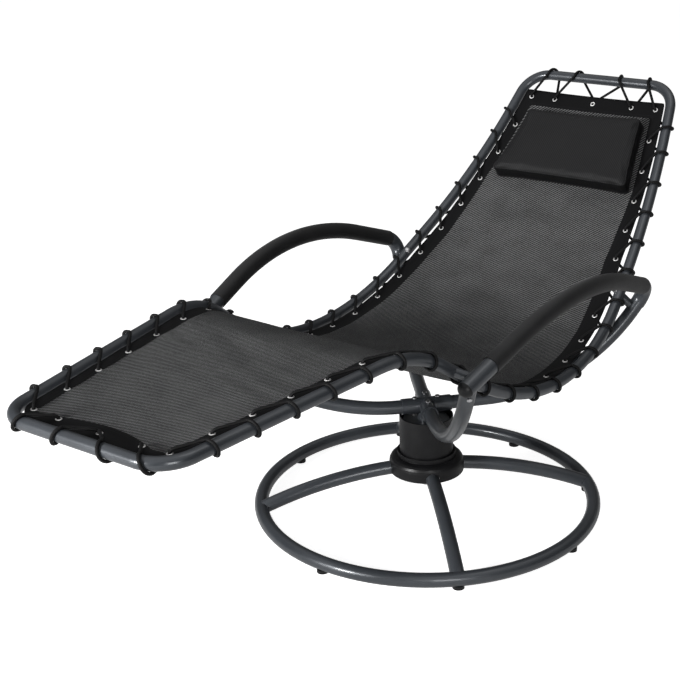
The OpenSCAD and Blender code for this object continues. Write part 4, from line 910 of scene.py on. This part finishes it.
def apply_all(made):
    """Puts the result of an object's modifiers into its mesh."""
    graph = bpy.context.evaluated_depsgraph_get()
    result = bpy.data.meshes.new_from_object(made.evaluated_get(graph))
    made.modifiers.clear()
    made.data = result


def blow_up(made):
    """Swells the cover as cloth under pressure, then limits how far each point may have moved."""
    rest = read_points(made.data)
    cloth_mod = made.modifiers.new("air", "CLOTH")
    settings = cloth_mod.settings
    settings.use_pressure = True
    settings.uniform_pressure_force = 4.0
    settings.effector_weights.gravity = 0.0
    settings.mass = 0.3
    settings.tension_stiffness = 20
    settings.compression_stiffness = 20
    settings.bending_stiffness = 2.0
    cloth_mod.collision_settings.use_collision = False
    scene = bpy.context.scene
    for moment in range(1, SWELL_FRAMES + 1):
        scene.frame_set(moment)
    apply_all(made)
    moved = read_points(made.data) - rest
    far = np.linalg.norm(moved, axis=1, keepdims=True)
    new = rest + moved * np.minimum(1, SWELL_LIMIT / np.maximum(far, TINY))
    made.data.vertices.foreach_set("co", new.astype(np.float32).ravel())
    made.data.update()
    scene.frame_set(1)


head_pillow = make_pillow()


def make_piping():
    """A thin welt round the pillow's upper and lower edges, laid on its skin."""
    skin = read_points(head_pillow.data) / MM
    tree = BVHTree.FromPolygons(skin.tolist(), [list(p.vertices) for p in head_pillow.data.polygons])
    x, y = (np.append(values, values[0]) for values in rounded_outline(PIPING_R, step=4.0))
    parts, faces, uvs, used = [], [], [], 0
    for level in (PILLOW_T - PIPING_LEVEL, PIPING_LEVEL):
        guess = on_sling(x, y, np.full(len(x), level))
        line = np.array([np.array(tree.find_nearest(p.tolist())[0]) for p in guess])
        line = even_line(line, step=3.0)
        points, quads, uv = tube(line, np.full(len(line), PIPING_R), PIPING_AROUND)
        parts.append(points)
        faces.append(quads + used)
        uvs.append(uv)
        used += len(points)
    points, faces, uvs = (np.concatenate(rows) for rows in (parts, faces, uvs))
    return piece("pillow_piping", points, faces, pillow_cover, uv=uvs)


pillow_piping = make_piping()
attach(head_pillow, "seat")
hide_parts("pillow")
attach(pillow_piping, "seat")

# ---------------------------------------------------------------- camera, light and floor
CAMERA_AZIMUTH, CAMERA_ELEVATION, CAMERA_ROLL = 36.05, 19.88, -1.157
CAMERA_PLACE = (1.6466, -2.3482, 1.5408)
CAMERA_LENS, CAMERA_SHIFT = 73.74, (-0.0518, -0.0352)

# Each lamp's name, place, the point that it faces, width and power
LAMPS = (
    ("key", (-1.4, -4.4, 1.55), (0, 0, 0.5), 1.0, 245),
    ("fill", (3.2, -3.0, 1.5), (0, 0, 0.5), 1.4, 60),
    ("top", (0.7, 0.5, 4.2), (0, 0, 0.3), 1.6, 10),
)

# Strength of the room in reflections: low down, more of it overhead, and the share it loses as light
ROOM_LOW, ROOM_MORE, ROOM_BAND, ROOM_CUT = 0.09, 0.7, (0.45, 0.95), 0.82
FLOOR_HALF, FLOOR_Z = 30.0, -0.0005
FLOOR_GLOW, MIRRORED_GLOW = 0.90, 0.35


def turned_to(made, right, up, back, place):
    """Puts an object in the scene at a place, with its own directions along the three given ones."""
    bpy.context.scene.collection.objects.link(made)
    rows = [[right[k], up[k], back[k], place[k]] for k in range(3)]
    made.matrix_world = Matrix(rows + [[0, 0, 0, 1]])


def make_camera():
    """The photograph's view, by azimuth, elevation and roll."""
    az, el, roll = (math.radians(v) for v in (CAMERA_AZIMUTH, CAMERA_ELEVATION, CAMERA_ROLL))
    back = np.array([math.sin(az) * math.cos(el), -math.cos(az) * math.cos(el), math.sin(el)])
    right = unit(np.cross(-back, [0, 0, 1]))
    up = np.cross(right, -back)
    right, up = right * math.cos(roll) + up * math.sin(roll), -right * math.sin(roll) + up * math.cos(roll)
    data = bpy.data.cameras.new("camera")
    data.lens, data.sensor_width = CAMERA_LENS, 36.0
    data.shift_x, data.shift_y = CAMERA_SHIFT
    made = bpy.data.objects.new("camera", data)
    turned_to(made, right, up, back, CAMERA_PLACE)
    bpy.context.scene.camera = made


def make_lamp(name, place, target, size, power):
    """A soft square lamp that faces a point."""
    data = bpy.data.lights.new(name, "AREA")
    data.shape, data.size, data.energy = "SQUARE", size, power
    back = unit(np.array(place, float) - np.array(target, float))
    right = unit(np.cross([0, 0, 1.0], back))
    turned_to(bpy.data.objects.new(name, data), right, np.cross(back, right), back, place)


def make_world():
    """A backdrop that the camera sees white; reflections see a dimmer room, brighter overhead."""
    world = bpy.data.worlds.new("studio")
    bpy.context.scene.world = world
    world.use_nodes = True
    n = Nodes(world.node_tree)
    rays = n.tree.nodes.new("ShaderNodeLightPath").outputs
    height = n.add("SeparateXYZ", n.tree.nodes.new("ShaderNodeTexCoord").outputs["Generated"]).outputs[2]
    overhead = n.math("ADD", ROOM_LOW, n.math("MULTIPLY", n.band(height, *ROOM_BAND), ROOM_MORE))
    kept = n.math("SUBTRACT", 1.0, n.math("MULTIPLY", rays["Is Diffuse Ray"], ROOM_CUT))
    dimmed = n.math("MULTIPLY", overhead, kept)
    sky = n.tree.nodes["Background"]
    n.put(sky.inputs["Color"], (1, 1, 1, 1))
    n.put(sky.inputs["Strength"], n.math("MAXIMUM", dimmed, rays["Is Camera Ray"]))


def make_floor():
    """A floor that the camera sees white apart from the shadow; it lights and reflects less than it shows."""
    mesh = bpy.data.meshes.new("floor")
    corners = [(x * FLOOR_HALF, y * FLOOR_HALF, FLOOR_Z) for x, y in ((-1, -1), (1, -1), (1, 1), (-1, 1))]
    mesh.from_pydata(corners, [], [(0, 1, 2, 3)])
    floor = bpy.data.objects.new("floor", mesh)
    bpy.context.scene.collection.objects.link(floor)
    made = bpy.data.materials.new("studio_floor")
    made.use_nodes = True
    f = Nodes(made.node_tree)
    f.tree.nodes.remove(f.tree.nodes["Principled BSDF"])
    rays = f.tree.nodes.new("ShaderNodeLightPath").outputs
    seen = f.math("MAXIMUM", rays["Is Camera Ray"], rays["Is Transmission Ray"])
    shown = f.add("BsdfDiffuse", (0.95, 0.95, 0.95, 1))
    glow = f.add("Emission", (1, 1, 1, 1), FLOOR_GLOW)
    both = f.add("AddShader", shown.outputs[0], glow.outputs[0])
    plain = f.add("BsdfDiffuse", (0.6, 0.6, 0.6, 1))
    mirrored = f.add("Emission", (1, 1, 1, 1), f.math("MULTIPLY", rays["Is Glossy Ray"], MIRRORED_GLOW))
    unseen = f.add("AddShader", plain.outputs[0], mirrored.outputs[0])
    mixed = f.add("MixShader", seen, unseen.outputs[0], both.outputs[0])
    f.put(f.tree.nodes["Material Output"].inputs[0], mixed.outputs[0])
    mesh.materials.append(made)


make_camera()
make_world()
make_floor()
for lamp in LAMPS:
    make_lamp(*lamp)
bpy.context.scene.view_settings.view_transform = "Standard"
